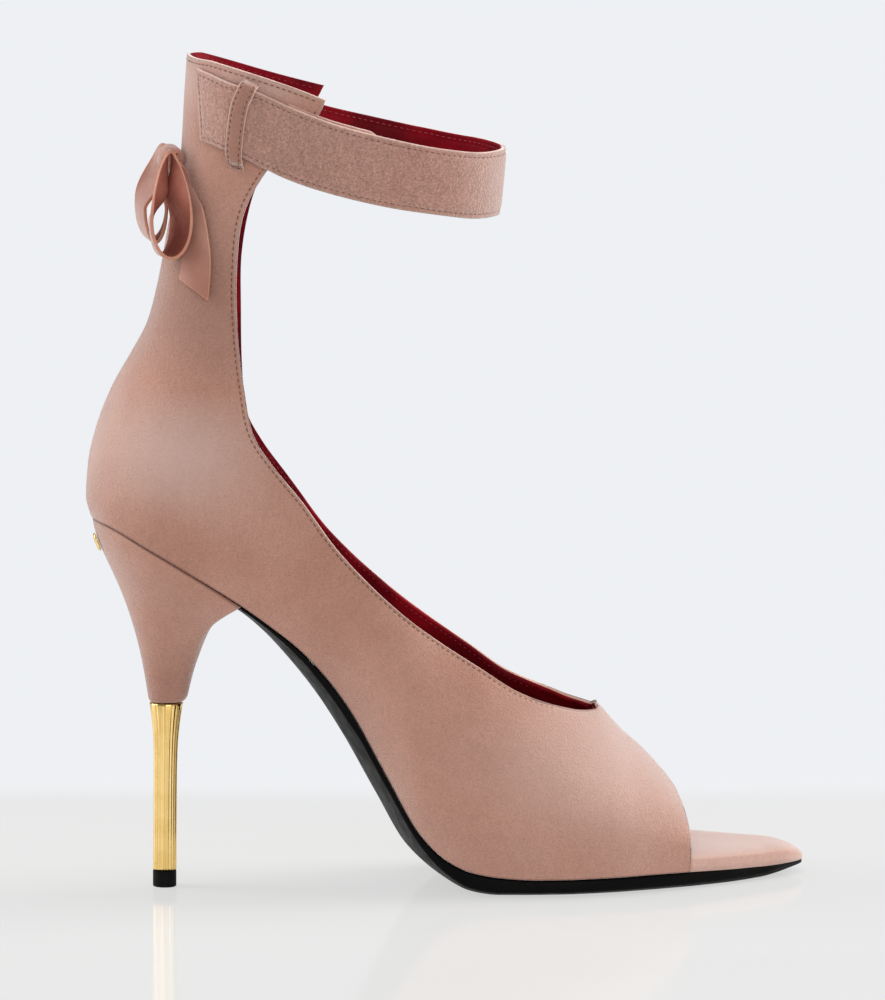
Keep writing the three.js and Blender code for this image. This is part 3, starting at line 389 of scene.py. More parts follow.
def math(tree, operation, a, b=0.0):
    made = addNode(tree, "ShaderNodeMath", operation=operation)
    for socket, source in zip(made.inputs, (a, b)):
        if isinstance(source, (int, float)):
            socket.default_value = source
        else:
            tree.links.new(source, socket)
    return made.outputs[0]


def noiseOf(tree, place, scale, detail=3.0, roughness=0.55):
    made = addNode(tree, "ShaderNodeTexNoise", Detail=detail, Roughness=roughness)
    tree.links.new(place, made.inputs["Vector"])
    if isinstance(scale, (int, float)):
        made.inputs["Scale"].default_value = scale
    else:
        tree.links.new(scale, made.inputs["Scale"])
    return made.outputs["Fac"]


def suedeGroup():
    # Brushed nap: broad patches where it lies light or dark, short strokes, and a fine grain.
    tree, given, out = newGroup(
        "suedeNap",
        [("Place", "Vector", None), ("Tone", "Color", None), ("Shade", "Color", None), ("Light", "Color", None),
         ("Patches", "Float", 45.0), ("Grain", "Float", 1800.0), ("Contrast", "Float", 0.1)],
        [("Color", "Color"), ("Height", "Float")],
    )
    place = given.outputs["Place"]
    patch = noiseOf(tree, place, given.outputs["Patches"], 4.0, 0.6)
    broad = noiseOf(tree, place, math(tree, "MULTIPLY", given.outputs["Patches"], 0.4), 2.0, 0.5)
    stretched = addNode(tree, "ShaderNodeMapping")
    stretched.inputs["Scale"].default_value = (1.0, 1.0, 0.3)
    stretched.inputs["Rotation"].default_value = (0.0, 0.7, 0.0)
    tree.links.new(place, stretched.inputs["Vector"])
    strokes = noiseOf(tree, stretched.outputs[0], math(tree, "MULTIPLY", given.outputs["Grain"], 0.35), 3.0, 0.65)
    grain = noiseOf(tree, place, given.outputs["Grain"], 2.0, 0.7)
    clumps = noiseOf(tree, place, math(tree, "MULTIPLY", given.outputs["Grain"], 0.7), 2.0, 0.6)
    color = mixColor(tree, span(tree, patch, 0.3, 0.68), given.outputs["Shade"], given.outputs["Tone"])
    color = mixColor(tree, span(tree, broad, 0.5, 0.75, 0.0, 0.35), color, given.outputs["Light"])
    amount = given.outputs["Contrast"]
    speck = math(tree, "ADD", math(tree, "MULTIPLY", span(tree, grain, 0.3, 0.7, -1.0, 1.0, "LINEAR"), amount), 1.0)
    clump = math(tree, "ADD", math(tree, "MULTIPLY", span(tree, clumps, 0.3, 0.7, -1.0, 1.0, "LINEAR"), amount), 1.0)
    brush = math(tree, "ADD", math(tree, "MULTIPLY", span(tree, strokes, 0.35, 0.65, -0.35, 0.35, "LINEAR"), amount), 1.0)
    whole = math(tree, "MULTIPLY", math(tree, "MULTIPLY", speck, clump), brush)
    color = mixColor(tree, 1.0, color, whole, "MULTIPLY")
    tree.links.new(color, out.inputs["Color"])
    tree.links.new(math(tree, "ADD", math(tree, "MULTIPLY", grain, 0.5), math(tree, "MULTIPLY", clumps, 0.8)), out.inputs["Height"])
    return tree


def leatherGroup():
    # Smooth leather: small rounded cells in the grain, faint wrinkles, and a slow change of tone.
    tree, given, out = newGroup(
        "leatherGrain",
        [("Place", "Vector", None), ("Tone", "Color", None), ("Dark", "Color", None), ("Cells", "Float", 900.0)],
        [("Color", "Color"), ("Height", "Float"), ("Gloss", "Float")],
    )
    place = given.outputs["Place"]
    cells = addNode(tree, "ShaderNodeTexVoronoi", feature="SMOOTH_F1")
    tree.links.new(place, cells.inputs["Vector"])
    tree.links.new(given.outputs["Cells"], cells.inputs["Scale"])
    wrinkles = noiseOf(tree, place, math(tree, "MULTIPLY", given.outputs["Cells"], 0.3), 4.0, 0.6)
    slow = noiseOf(tree, place, 60.0, 3.0, 0.5)
    color = mixColor(tree, span(tree, slow, 0.35, 0.65), given.outputs["Dark"], given.outputs["Tone"])
    color = mixColor(tree, span(tree, wrinkles, 0.45, 0.75, 0.0, 0.3), color, given.outputs["Dark"])
    tree.links.new(color, out.inputs["Color"])
    tree.links.new(math(tree, "ADD", cells.outputs["Distance"], math(tree, "MULTIPLY", wrinkles, 0.7)), out.inputs["Height"])
    tree.links.new(span(tree, wrinkles, 0.3, 0.7), out.inputs["Gloss"])
    return tree


def edgeGroup():
    # From the distance to the cut edge in millimetres: a pale rolled rim, and the dip that a row of
    # stitches pulls in.
    tree, given, out = newGroup(
        "edgeBand",
        [("Distance", "Float", 10.0), ("Row", "Float", 1.45)],
        [("Rim", "Float"), ("Dip", "Float"), ("Level", "Float")],
    )
    distance = given.outputs["Distance"]
    away = math(tree, "ABSOLUTE", math(tree, "SUBTRACT", distance, given.outputs["Row"]))
    dip = span(tree, away, 0.0, 0.6, 1.0, 0.0)
    tree.links.new(span(tree, distance, 0.2, 1.0, 1.0, 0.0), out.inputs["Rim"])
    tree.links.new(dip, out.inputs["Dip"])
    tree.links.new(math(tree, "SUBTRACT", 1.0, dip), out.inputs["Level"])
    return tree


suedeNap, leatherGrain, edgeBand = suedeGroup(), leatherGroup(), edgeGroup()


def srgb(r, g, b):
    c = np.array([r, g, b]) / 255
    c = np.where(c <= 0.04045, c / 12.92, ((c + 0.055) / 1.055) ** 2.4)
    return (float(c[0]), float(c[1]), float(c[2]), 1.0)


def startMaterial(name, **settings):
    material = bpy.data.materials.new(name)
    material.use_nodes = True
    tree = material.node_tree
    shader = tree.nodes["Principled BSDF"]
    for key, value in settings.items():
        shader.inputs[key].default_value = value
    place = addNode(tree, "ShaderNodeTexCoord").outputs["Object"]
    return material, tree, shader, place


def placeGroup(tree, group, place=None, **values):
    made = addNode(tree, "ShaderNodeGroup", node_tree=group)
    for key, value in values.items():
        made.inputs[key].default_value = value
    if place is not None:
        tree.links.new(place, made.inputs["Place"])
    return made.outputs


def addBump(tree, shader, height, depth, strength=1.0, under=None):
    made = addNode(tree, "ShaderNodeBump")
    made.inputs["Distance"].default_value = depth / 1000
    made.inputs["Strength"].default_value = strength
    tree.links.new(height, made.inputs["Height"])
    if under is not None:
        tree.links.new(under, made.inputs["Normal"])
    tree.links.new(made.outputs["Normal"], shader.inputs["Normal"])
    return made.outputs["Normal"]


def suedeMaterial(name, tone, shade, light, patches, grain, contrast, depth, rimTone=None, napAndPaintedLight=False, seamShade=False):
    material, tree, shader, place = startMaterial(name, Roughness=0.92)
    shader.inputs["Sheen Weight"].default_value = 0.95
    shader.inputs["Sheen Roughness"].default_value = 0.42
    shader.inputs["Sheen Tint"].default_value = srgb(240, 236, 234)
    shader.inputs["Specular IOR Level"].default_value = 0.12
    nap = placeGroup(tree, suedeNap, place, Tone=tone, Shade=shade, Light=light, Patches=patches, Grain=grain, Contrast=contrast)
    color = nap["Color"]
    if napAndPaintedLight:
        # Painted shade where the attribute is below 0 and painted light, a paler tone, where it is above 0; partly the
        # nap's own tone.
        paintedLightAndNap = addNode(tree, "ShaderNodeAttribute", attribute_name="napAndPaintedLight").outputs["Fac"]
        darker = math(tree, "ADD", math(tree, "MULTIPLY", math(tree, "MINIMUM", paintedLightAndNap, 0.0), 0.5), 1.0)
        color = mixColor(tree, 1.0, color, darker, "MULTIPLY")
        color = mixColor(tree, span(tree, paintedLightAndNap, 0.0, 1.0, 0.0, 0.75, "LINEAR"), color, srgb(214, 188, 178))
    if seamShade:
        # Painted shade: a contact shadow darkening the suede to srgb(112, 66, 50) within 0.75 mm of the joint with the
        # heel block and sole.
        away = addNode(tree, "ShaderNodeAttribute", attribute_name="seamDistance").outputs["Fac"]
        color = mixColor(tree, span(tree, away, 0.05, 0.75, 0.8, 0.0), color, srgb(112, 66, 50))
    if rimTone:
        distance = addNode(tree, "ShaderNodeAttribute", attribute_name="rimDistance").outputs["Fac"]
        band = placeGroup(tree, edgeBand)
        tree.links.new(distance, band["Rim"].node.inputs["Distance"])
        color = mixColor(tree, math(tree, "MULTIPLY", band["Rim"], 0.45), color, rimTone)
        # Painted shade: the colour darkens toward the shade tone in the groove along the stitch row.
        color = mixColor(tree, math(tree, "MULTIPLY", band["Dip"], 0.2), color, shade)
        normal = addBump(tree, shader, band["Level"], 0.25, 0.5)
        addBump(tree, shader, nap["Height"], depth, 0.8, normal)
    else:
        addBump(tree, shader, nap["Height"], depth, 0.8)
    tree.links.new(color, shader.inputs["Base Color"])
    return material


def leatherMaterial(name, tone, dark, cells, depth, roughness, coat=0.0, spread=0.12, specular=0.4, paintedInnerShade=None, sheen=0.0):
    material, tree, shader, place = startMaterial(name, Roughness=roughness)
    shader.inputs["Sheen Weight"].default_value = sheen
    shader.inputs["Coat Weight"].default_value = coat
    shader.inputs["Coat Roughness"].default_value = 0.2
    shader.inputs["Specular IOR Level"].default_value = specular
    grain = placeGroup(tree, leatherGrain, place, Tone=tone, Dark=dark, Cells=cells)
    color = grain["Color"]
    if paintedInnerShade:
        # Painted shade: the lining darkens into the given colour further from its rim, inside the shoe and the strap.
        distance = addNode(tree, "ShaderNodeAttribute", attribute_name="rimDistance").outputs["Fac"]
        color = mixColor(tree, span(tree, distance, 1.5, 16.0, 0.0, 0.85), color, paintedInnerShade)
    tree.links.new(color, shader.inputs["Base Color"])
    tree.links.new(span(tree, grain["Gloss"], 0.0, 1.0, roughness - spread, roughness + spread), shader.inputs["Roughness"])
    addBump(tree, shader, grain["Height"], depth, 0.7)
    return material


tones = {
    "suede": srgb(184, 138, 121), "suedeShade": srgb(173, 126, 108), "suedeLight": srgb(196, 153, 137),
    "strap": srgb(184, 140, 124), "strapShade": srgb(175, 130, 114), "strapLight": srgb(196, 153, 138),
    "rim": srgb(210, 172, 155), "lining": srgb(138, 8, 24), "liningDark": srgb(98, 3, 15),
    "ribbon": srgb(176, 127, 109), "ribbonDark": srgb(157, 104, 86), "ribbonEdge": srgb(202, 148, 124),
    "thread": srgb(122, 78, 66), "darkThread": srgb(98, 58, 48), "redThread": srgb(190, 60, 72), "gold": srgb(243, 208, 138),
}
suedes = (tones["suede"], tones["suedeShade"], tones["suedeLight"])
straps = (tones["strap"], tones["strapShade"], tones["strapLight"])
upperSuede = suedeMaterial("upper suede", *suedes, 30.0, 2200.0, 0.085, 0.48, tones["rim"], True, True)
heelSuede = suedeMaterial("heel suede", *suedes, 34.0, 2200.0, 0.08, 0.5, None, True, True)
footbedSuede = suedeMaterial("footbed suede", srgb(203, 166, 152), srgb(190, 150, 135), srgb(212, 182, 170), 36.0, 2600.0, 0.06, 0.18)
strapSuede = suedeMaterial("strap suede", *straps, 26.0, 1900.0, 0.2, 1.0, tones["rim"], True)
rimSuede = suedeMaterial("rolled rim", tones["rim"], tones["suede"], srgb(234, 202, 188), 90.0, 2400.0, 0.08, 0.16)
# The crimson lining carries painted shade, darkening to srgb(48, 1, 8) away from its rim.
redLining = leatherMaterial("crimson lining", tones["lining"], tones["liningDark"], 1500.0, 0.06, 0.62, 0.0, 0.1, 0.08, srgb(48, 1, 8))
ribbonOutside = leatherMaterial("ribbon face", tones["ribbon"], tones["ribbonDark"], 1600.0, 0.05, 0.55, 0.0, 0.12, 0.35, sheen=0.45)
ribbonInside = leatherMaterial("ribbon back", srgb(168, 104, 88), srgb(142, 78, 64), 1800.0, 0.12, 0.7, specular=0.15)
ribbonCut = leatherMaterial("ribbon edge", tones["ribbonEdge"], srgb(188, 126, 102), 2500.0, 0.04, 0.6)
soleBlack = leatherMaterial("black sole", srgb(5, 5, 4), srgb(3, 3, 3), 700.0, 0.02, 0.5, 0.0, 0.06, 0.07)
topRubber = leatherMaterial("black rubber", srgb(14, 14, 14), srgb(7, 7, 7), 2600.0, 0.05, 0.6, 0.0, 0.1, 0.08)


def threadMaterial(name, tone):
    # Twisted thread: fine slanting ribs, with painted shade between them.
    material, tree, shader, place = startMaterial(name, Roughness=0.75)
    ribs = addNode(tree, "ShaderNodeTexWave", Scale=900.0, Distortion=1.5)
    tree.links.new(place, ribs.inputs["Vector"])
    dark = tuple(0.55 * c for c in tone[:3]) + (1.0,)
    tree.links.new(mixColor(tree, ribs.outputs["Fac"], dark, tone), shader.inputs["Base Color"])
    addBump(tree, shader, ribs.outputs["Fac"], 0.08, 0.6)
    return material


def goldMaterial():
    # Plated metal: polished along its length, with faint hairlines and slightly duller patches.
    material, tree, shader, place = startMaterial("gold plate", Metallic=1.0, Roughness=0.12)
    hairs = addNode(tree, "ShaderNodeMapping")
    hairs.inputs["Scale"].default_value = (1.0, 1.0, 0.02)
    tree.links.new(place, hairs.inputs["Vector"])
    lines = noiseOf(tree, hairs.outputs[0], 5200.0, 2.0, 0.7)
    patches = noiseOf(tree, place, 160.0, 3.0, 0.5)
    worn = math(tree, "ADD", math(tree, "MULTIPLY", lines, 0.4), math(tree, "MULTIPLY", patches, 0.6))
    tree.links.new(span(tree, worn, 0.3, 0.7, 0.1, 0.15), shader.inputs["Roughness"])
    tree.links.new(mixColor(tree, span(tree, patches, 0.35, 0.65), srgb(232, 196, 122), tones["gold"]), shader.inputs["Base Color"])
    addBump(tree, shader, lines, 0.004, 0.2)
    return material


brownThread, darkThread = threadMaterial("brown thread", tones["thread"]), threadMaterial("dark thread", tones["darkThread"])
redThread = threadMaterial("red thread", tones["redThread"])
goldPlate = goldMaterial()
print("materials ready")


# The upper, a quarter and a vamp on each side.
upper = {
    "wall": 1.8, "throatReach": 126.2, "toeOpening": 150.2, "openingLean": 1.4, "openingBelly": 1.5,
    "innerEdgeForward": 8, "innerWingDrop": 1.2, "collarBow": {"outer": 1.1, "inner": -0.6}, "cornerDip": 0.8,
    "columns": 68, "low": 58, "high": 104, "throat": 112, "toe": 32, "footRoll": 0.32, "footReach": 0.9,
    "stitchInset": 1.45, "toplineInset": 1.05,
}
# along, high, ahead
edgeTable = np.array([
    (0.312, 0.951, 0.72), (0.303, 0.934, 0.68), (0.267, 0.902, 0.8), (0.227, 0.862, 0.98), (0.1995, 0.815, 1.0),
    (0.19, 0.75, 0.85), (0.1905, 0.68, 0.82), (0.198, 0.61, 0.7), (0.21, 0.555, 0.58), (0.235, 0.52, 0.48),
    (0.2775, 0.474, 0.38), (0.33, 0.412, 0.43), (0.413, 0.341, 0.575), (0.469, 0.304, 0.575), (0.525, 0.272, 0.49),
    (0.583, 0.24, 0.345), (0.643, 0.2195, 0.3), (0.675, 0.2115, 0.12), (0.7, 0.208, 0),
])
splitRow = 10


def edgePoints(side):
    forward = upper["innerEdgeForward"] * edgeTable[:, 2] * (side == "inner")
    drop = upper["innerWingDrop"] * smooth((edgeTable[:, 1] - 0.9) / 0.05) * (side == "inner")
    return np.stack([xOf(edgeTable[:, 0]) + forward, collarHeight * edgeTable[:, 1] - drop], -1)


def collarRise(side, t):
    # The collar's bow between the back seam and the wing's corner, and its rounded corner at the seam.
    return upper["collarBow"][side] * 4 * t * (1 - t) - upper["cornerDip"] * (1 - smooth(t / 0.14))


# Soft creases: x, z, direction in degrees, length, width, height, all but the angle in millimetres.
creases = np.array([
    (12, 150, 20, 26, 7, -0.35), (10, 163, 12, 22, 7, -0.3), (16, 156, 16, 22, 6, 0.22),
    (58, 72, -47, 34, 9, -0.4), (72, 50, -58, 30, 8, -0.32), (66, 66, -50, 30, 7, 0.25),
    (100, 34, -70, 22, 9, -0.25), (34, 100, -40, 30, 10, -0.3),
])


def creaseHeight(x, z):
    # Sum of h exp(-(u/length)^2 - (v/width)^2), u along the crease and v across it.
    total = 0
    for cx, cz, angle, length, width, height in creases:
        a = np.radians(angle)
        u = (x - cx) * np.cos(a) + (z - cz) * np.sin(a)
        v = (z - cz) * np.cos(a) - (x - cx) * np.sin(a)
        total = total + height * np.exp(-((u / length) ** 2) - (v / width) ** 2)
    return total


# Where the upper is painted darker (below 0) or lighter, painted shade and light that is partly the nap's own tone: x,
# z, reach along, reach up, amount.
napAndPaintedLight = np.array([
    (8, 182, 14, 18, -0.5), (5, 160, 22, 16, -0.35), (0, 130, 22, 18, 0.7), (-6, 108, 16, 11, -0.2),
    (88, 14, 34, 12, -0.15), (132, 34, 20, 22, 0.4), (108, 40, 22, 16, 0.3), (22, 236, 18, 7, 0.5),
])


# Sum of amount exp(-(dx/along)^2 - (dz/up)^2) over the table: the painted light and shade at each point.
def napAndPaintedLightTone(x, z):
    total = 0
    for cx, cz, along, up, amount in napAndPaintedLight:
        total = total + amount * np.exp(-(((x - cx) / along) ** 2) - ((z - cz) / up) ** 2)
    return total


def bothEnds(count, first=1.5, last=1.3):
    # Steps from 0 to 1, closer together towards both ends: 1 - (1 - s^first)^last.
    return 1 - (1 - np.linspace(0, 1, count + 1) ** first) ** last


def quarterGrid(side):
    # x = mix(back line, front edge, t), z the same plus the feather edge's sag, fading upwards.
    edge = edgePoints(side)
    split = edge[splitRow]
    low, high = upper["low"], upper["high"]
    upward = evenly(pathThrough(edge[: splitRow + 1])[::-1], 600)
    highSteps = 1 - (1 - np.linspace(0, 1, high + 1)) ** 1.4
    top = np.stack([np.interp(highSteps * 600, np.arange(601), upward[:, k]) for k in range(2)], -1)
    splitBottom = featherZ(split[0])
    ankleZ = mix(last["seatHeight"], collarHeight, 0.2)
    j = np.arange(low + high + 1)
    lowShare = np.concatenate([bothEnds(low), np.ones(high)])
    highShare = np.concatenate([np.zeros(low), highSteps])
    backZ = np.where(j > low, mix(ankleZ, collarHeight, highShare), mix(last["seatHeight"], ankleZ, lowShare))
    backZ = backZ - upper["cornerDip"] * highShare**8
    front = top[np.maximum(0, j - low)]
    frontX = np.where(j > low, front[:, 0], split[0])
    frontZ = np.where(j > low, front[:, 1], mix(splitBottom, split[1], lowShare))
    t = bothEnds(upper["columns"], 1.7, 1.4)[None]
    x = mix(backX(backZ)[:, None], frontX[:, None], t)
    sag = featherZ(mix(-last["backReach"], split[0], t)) - mix(last["seatHeight"], splitBottom, t)
    fade = 1 - smooth((lowShare + highShare * high / low) / 1.6)
    z = mix(backZ[:, None], frontZ[:, None], t) + sag * fade[:, None]
    z = z + (collarRise(side, t) + upper["cornerDip"] * (1 - t)) * (highShare**8)[:, None]
    z[0] = featherZ(x[0])
    return upperPoint(side, x, z)


def vampGrid(side):
    # Upright columns from the feather edge to the topline, then to the ridge over the toes.
    edge = edgePoints(side)
    split = edge[splitRow][0]
    toplineZ = curveThrough(edge[splitRow:, 0], edge[splitRow:, 1])
    reach, opening, lean = upper["throatReach"], upper["toeOpening"], upper["openingLean"]
    topX = np.concatenate([
        mix(split, reach, bothEnds(upper["throat"], 1, 1.15))[:-1],
        mix(reach, opening - lean, bothEnds(upper["toe"], 1.2, 1.3)),
    ])
    before = np.arange(len(topX)) < upper["throat"]
    share = (topX - split) / (opening - lean - split)
    rounding = smooth((topX - 0.75 * reach) / (0.25 * reach))
    v = bothEnds(upper["low"])[:, None]
    up = mix(v, 1 - (1 - v) ** 1.5, rounding[None])
    frontX = opening - lean * up + upper["openingBelly"] * 4 * up * (1 - up) * 0.6
    x = mix(split, frontX, share[None])
    topZ = np.where(before, np.minimum(toplineZ(topX), ridgeZ(topX)), ridgeZ(topX))
    z = mix(featherZ(x), topZ[None], up)
    points = upperPoint(side, x, z)
    onRidge = points[-1, upper["throat"]:]
    onRidge[:, 0], onRidge[:, 1], onRidge[:, 2] = topX[upper["throat"]:], centreY(topX[upper["throat"]:]), topZ[upper["throat"]:]
    return points


def collarLine(side, t, below=0.0):
    z = mix(collarHeight, edgePoints(side)[0, 1], t) + collarRise(side, t) - below
    return np.stack([mix(backX(z), edgePoints(side)[0, 0], t), z], -1)


def frontCurve(side):
    # The wing's front edge, the front of the shaft and the topline.
    edge = edgePoints(side)
    return np.vstack([pathThrough(edge[: splitRow + 1]), pathThrough(edge[splitRow:])[1:]])


def stitchDistance(z):
    # How far the stitches lie from the edge: closer along the topline.
    return mix(upper["toplineInset"], upper["stitchInset"], smooth((z - 118) / 24))


def nearest(points, path):
    best = np.full(len(points), 1e9)
    for start in range(0, len(path), 40):
        gap = np.linalg.norm(points[:, None] - path[None, start : start + 40], axis=2).min(1)
        best = np.minimum(best, gap)
    return best


allVerts, allQuads, allRim, count = [], [], [], 0
for side in ("outer", "inner"):
    flat = np.vstack([collarLine(side, np.linspace(0, 1, 120)[:-1] ** 1.7), evenly(frontCurve(side), 460)])
    border = upperPoint(side, flat[:, 0], np.where(flat[:, 0] > 60, np.minimum(flat[:, 1], ridgeZ(flat[:, 0])), flat[:, 1]))
    quarter, vamp = quarterGrid(side), vampGrid(side)
    vamp[:, 0] = quarter[: upper["low"] + 1, -1]
    for points in (quarter, vamp):
        rows, columns = points.shape[:2]
        quads = gridQuads(rows, columns)
        points = points.reshape(-1, 3)
        allVerts.append(points)
        allQuads.append((quads[:, ::-1] if side == "inner" else quads) + count)
        allRim.append(nearest(points, border))
        count += len(points)
verts, quads, (rimDistance,) = weld(np.concatenate(allVerts), np.concatenate(allQuads), [np.concatenate(allRim)])
normals = vertexNormals(verts, quads)
steep = featherZ(verts[:, 0] + 0.5) - featherZ(verts[:, 0] - 0.5)
foot = (verts[:, 2] - featherZ(verts[:, 0])) / np.sqrt(1 + steep**2)
lift = creaseHeight(verts[:, 0], verts[:, 2]) * smooth(rimDistance / 8) * smooth(foot / 6)
lift = lift - upper["footRoll"] * (1 - roundOff(foot / upper["footReach"], 2))
rimDistance = rimDistance * upper["stitchInset"] / stitchDistance(verts[:, 2])
lift = lift - 0.1 * np.exp(-(((rimDistance - upper["stitchInset"]) / 0.5) ** 2))
verts = verts + normals * lift[:, None]
# Painted light and shade, partly the nap's own tone, carried onto the shell as an attribute.
tone = napAndPaintedLightTone(verts[:, 0], verts[:, 2])
verts, quads, kinds, (rimDistance, foot, tone) = shell(
    verts, quads, upper["wall"], 0.5, 8, 4, [rimDistance, foot, tone], foot < 0.01, normals
)
makePiece(
    "upperShell", verts, quads, [upperSuede, redLining, rimSuede], "upper", kinds,
    {"rimDistance": rimDistance, "seamDistance": foot, "napAndPaintedLight": tone},
)
print("upper made")


# Rows of stitches along the edges.
stitch = {"length": 1.3, "gap": 0.5, "width": 0.28, "sides": 6, "rings": 5}


def stitchRow(path, out, length=None, gap=None, width=None):
    # Each stitch is a round-ended bar of six sides: s = (L/2) sin a, r = (w/2) cos(a)^0.6, half sunk in
    # the surface.
    length, gap, width = length or stitch["length"], gap or stitch["gap"], width or stitch["width"]
    total = np.linalg.norm(np.diff(path, axis=0), axis=1).sum()
    number = max(1, int(total / (length + gap)))
    both = evenly(np.hstack([path, out]), number * 8)
    centre, normal = both[4::8, :3], unit(both[4::8, 3:])
    along = unit(both[5::8, :3] - both[3::8, :3])[: len(centre)]
    centre, normal = centre[: len(along)], normal[: len(along)]
    across = unit(np.cross(normal, along))
    a = np.linspace(-np.pi / 2, np.pi / 2, stitch["rings"])
    turn = 2 * np.pi * np.arange(stitch["sides"]) / stitch["sides"]
    s = np.repeat((length / 2) * np.sin(a), stitch["sides"])
    r = np.repeat((width / 2) * np.maximum(np.cos(a), 0.02) ** 0.6, stitch["sides"])
    w, h = r * np.tile(np.cos(turn), stitch["rings"]), r * np.tile(np.sin(turn), stitch["rings"])
    sink = 0.1 * (s / (length / 2)) ** 2
    verts = centre[:, None] + along[:, None] * s[None, :, None] + across[:, None] * w[None, :, None]
    verts = verts + normal[:, None] * (h - sink)[None, :, None]
    one = gridQuads(stitch["rings"], stitch["sides"], wrap=True)
    end = (stitch["rings"] - 1) * stitch["sides"]
    caps = np.array([(3, 2, 1, 0), (0, 5, 4, 3), (end, end + 1, end + 2, end + 3), (end + 3, end + 4, end + 5, end)])
    one = np.concatenate([one, caps])
    quads = (one[None] + (np.arange(len(centre)) * len(s))[:, None, None]).reshape(-1, 4)
    return verts.reshape(-1, 3), quads


def makeStitches(name, rows, material):
    verts, quads, count = [], [], 0
    for v, q in rows:
        verts.append(v)
        quads.append(q + count)
        count += len(v)
    return makePiece(name, np.concatenate(verts), np.concatenate(quads), [material])


def insetEdge(side):
    # The border moved in by the stitch distance in the side view; at the throat the way in turns forwards.
    curve = evenly(frontCurve(side), 500)
    step = unit(np.gradient(curve, axis=0))
    inward = np.stack([step[:, 1], -step[:, 0]], -1)
    turnTo = smooth((curve[:, 0] - 0.93 * upper["throatReach"]) / (0.07 * upper["throatReach"]))[:, None]
    inward = unit(mix(inward, np.array([[1.0, 0.0]]), turnTo))
    moved = curve + stitchDistance(curve[:, 1])[:, None] * inward
    moved[:, 1] = np.where(moved[:, 0] > 60, np.minimum(moved[:, 1], ridgeZ(moved[:, 0]) - 0.01), moved[:, 1])
    return moved


outsideRows, liningRows = [], []
for side in ("outer", "inner"):
    moved = insetEdge(side)[8:]
    moved = moved[moved[:, 0] < 0.88 * upper["throatReach"]]
    points, out = upperPoint(side, moved[:, 0], moved[:, 1]), upperOut(side, moved[:, 0], moved[:, 1])
    outsideRows.append(stitchRow(points - 0.04 * out, out))
    liningRows.append(stitchRow(points - (upper["wall"] + 0.02) * out, -out))
    collar = collarLine(side, np.linspace(0.006, 0.955, 240) ** 1.7, upper["stitchInset"])
    points, out = upperPoint(side, collar[:, 0], collar[:, 1]), upperOut(side, collar[:, 0], collar[:, 1], 0.05)
    outsideRows.append(stitchRow(points - 0.04 * out, out))
    liningRows.append(stitchRow(points - (upper["wall"] + 0.02) * out, -out))
makeStitches("upperStitches", outsideRows, brownThread)
makeStitches("liningStitches", liningRows, redThread)
print("upper stitched")


# The ankle strap and its keeper.
strap = {
    "width": 19.4, "thickness": 2.2, "nose": 96.9, "tilt": 0.9, "swell": 2.6, "hug": 0.48, "leave": 0.325,
    "ends": {"outer": (2.4, 4.4), "inner": (8, 9)}, "across": 45, "hugSteps": 70, "roundSteps": 160, "stitchInset": 1.35,
}
# along, high, far, tall
strapHigh, strapFar, strapTall = tableCurves([
    (0.134, 0.947, 0, 1.06), (0.16, 0.9395, 0, 1.05), (0.18, 0.9325, 0, 1.04), (0.2, 0.9262, 0, 1.06),
    (0.223, 0.917, 0.001, 1.11), (0.254, 0.9038, 0.002, 1.11), (0.325, 0.8808, 0.003, 1.07), (0.397, 0.865, 0.003, 1.04),
    (0.474, 0.8514, 0.003, 1), (0.531, 0.8435, 0.003, 1), (0.57, 0.842, 0.0005, 1),
])


def strapMiddle(side, x):
    return collarHeight * (strapHigh(alongOf(x)) + strapFar(alongOf(x)) * (side == "inner"))


def strapHalf(x):
    return strap["width"] * strapTall(alongOf(x)) / 2


def strapPoint(side, x, across):
    # Hugs the shaft as far as the wings, then y = (hug + swell) sqrt(1 - b^3) round to the nose.
    leave = xOf(strap["leave"])
    near = np.minimum(x, leave)
    hugged = offUpper(side, near, strapMiddle(side, near) + across * strapHalf(near), strap["hug"])
    beyond = np.clip((x - leave) / (strap["nose"] - leave), 0, 1)
    swell = sideSign[side] * strap["swell"] * smooth(beyond / 0.5)
    return np.stack([
        mix(hugged[..., 0], strap["nose"] + across * strap["tilt"], beyond),
        (hugged[..., 1] + swell) * np.sqrt(np.maximum(0, 1 - beyond**3)),
        strapMiddle(side, x) + across * strapHalf(x),
    ], -1)


def strapGrid(shares):
    leave, shares = xOf(strap["leave"]), np.asarray(shares, float)[:, None]
    parts = {}
    for side in ("outer", "inner"):
        high, low = strap["ends"][side]
        endZ = strapMiddle(side, xOf(0.14)) + shares * strapHalf(xOf(0.14))
        start = backX(endZ) + mix(low, high, (1 + shares) / 2)
        k = (np.arange(strap["hugSteps"]) / strap["hugSteps"])[None] ** 2
        x = mix(start, leave, k)
        parts[side] = strapPoint(side, x, shares * np.ones_like(x))
    turn = np.pi * np.arange(strap["roundSteps"] + 1) / strap["roundSteps"]
    x = mix(leave, strap["nose"], np.sin(turn) ** (2 / 3))[None] * np.ones_like(shares)
    half = strap["roundSteps"] // 2 + 1
    outerRound = strapPoint("outer", x[:, :half], shares * np.ones((1, half)))
    innerRound = strapPoint("inner", x[:, half:], shares * np.ones((1, x.shape[1] - half)))
    return np.concatenate([parts["outer"], outerRound, innerRound, parts["inner"][:, ::-1]], 1)


shares = np.sin(np.linspace(-np.pi / 2, np.pi / 2, strap["across"])) * 0.45 + np.linspace(-1, 1, strap["across"]) * 0.55
inside = strapGrid(shares)
rows, columns = inside.shape[:2]
length = np.concatenate([[0], np.cumsum(np.linalg.norm(np.diff(inside[rows // 2], axis=0), axis=1))])
half = strap["width"] / 2
fromEdge = np.minimum((1 - np.abs(shares))[:, None] * half, np.minimum(length, length[-1] - length)[None])
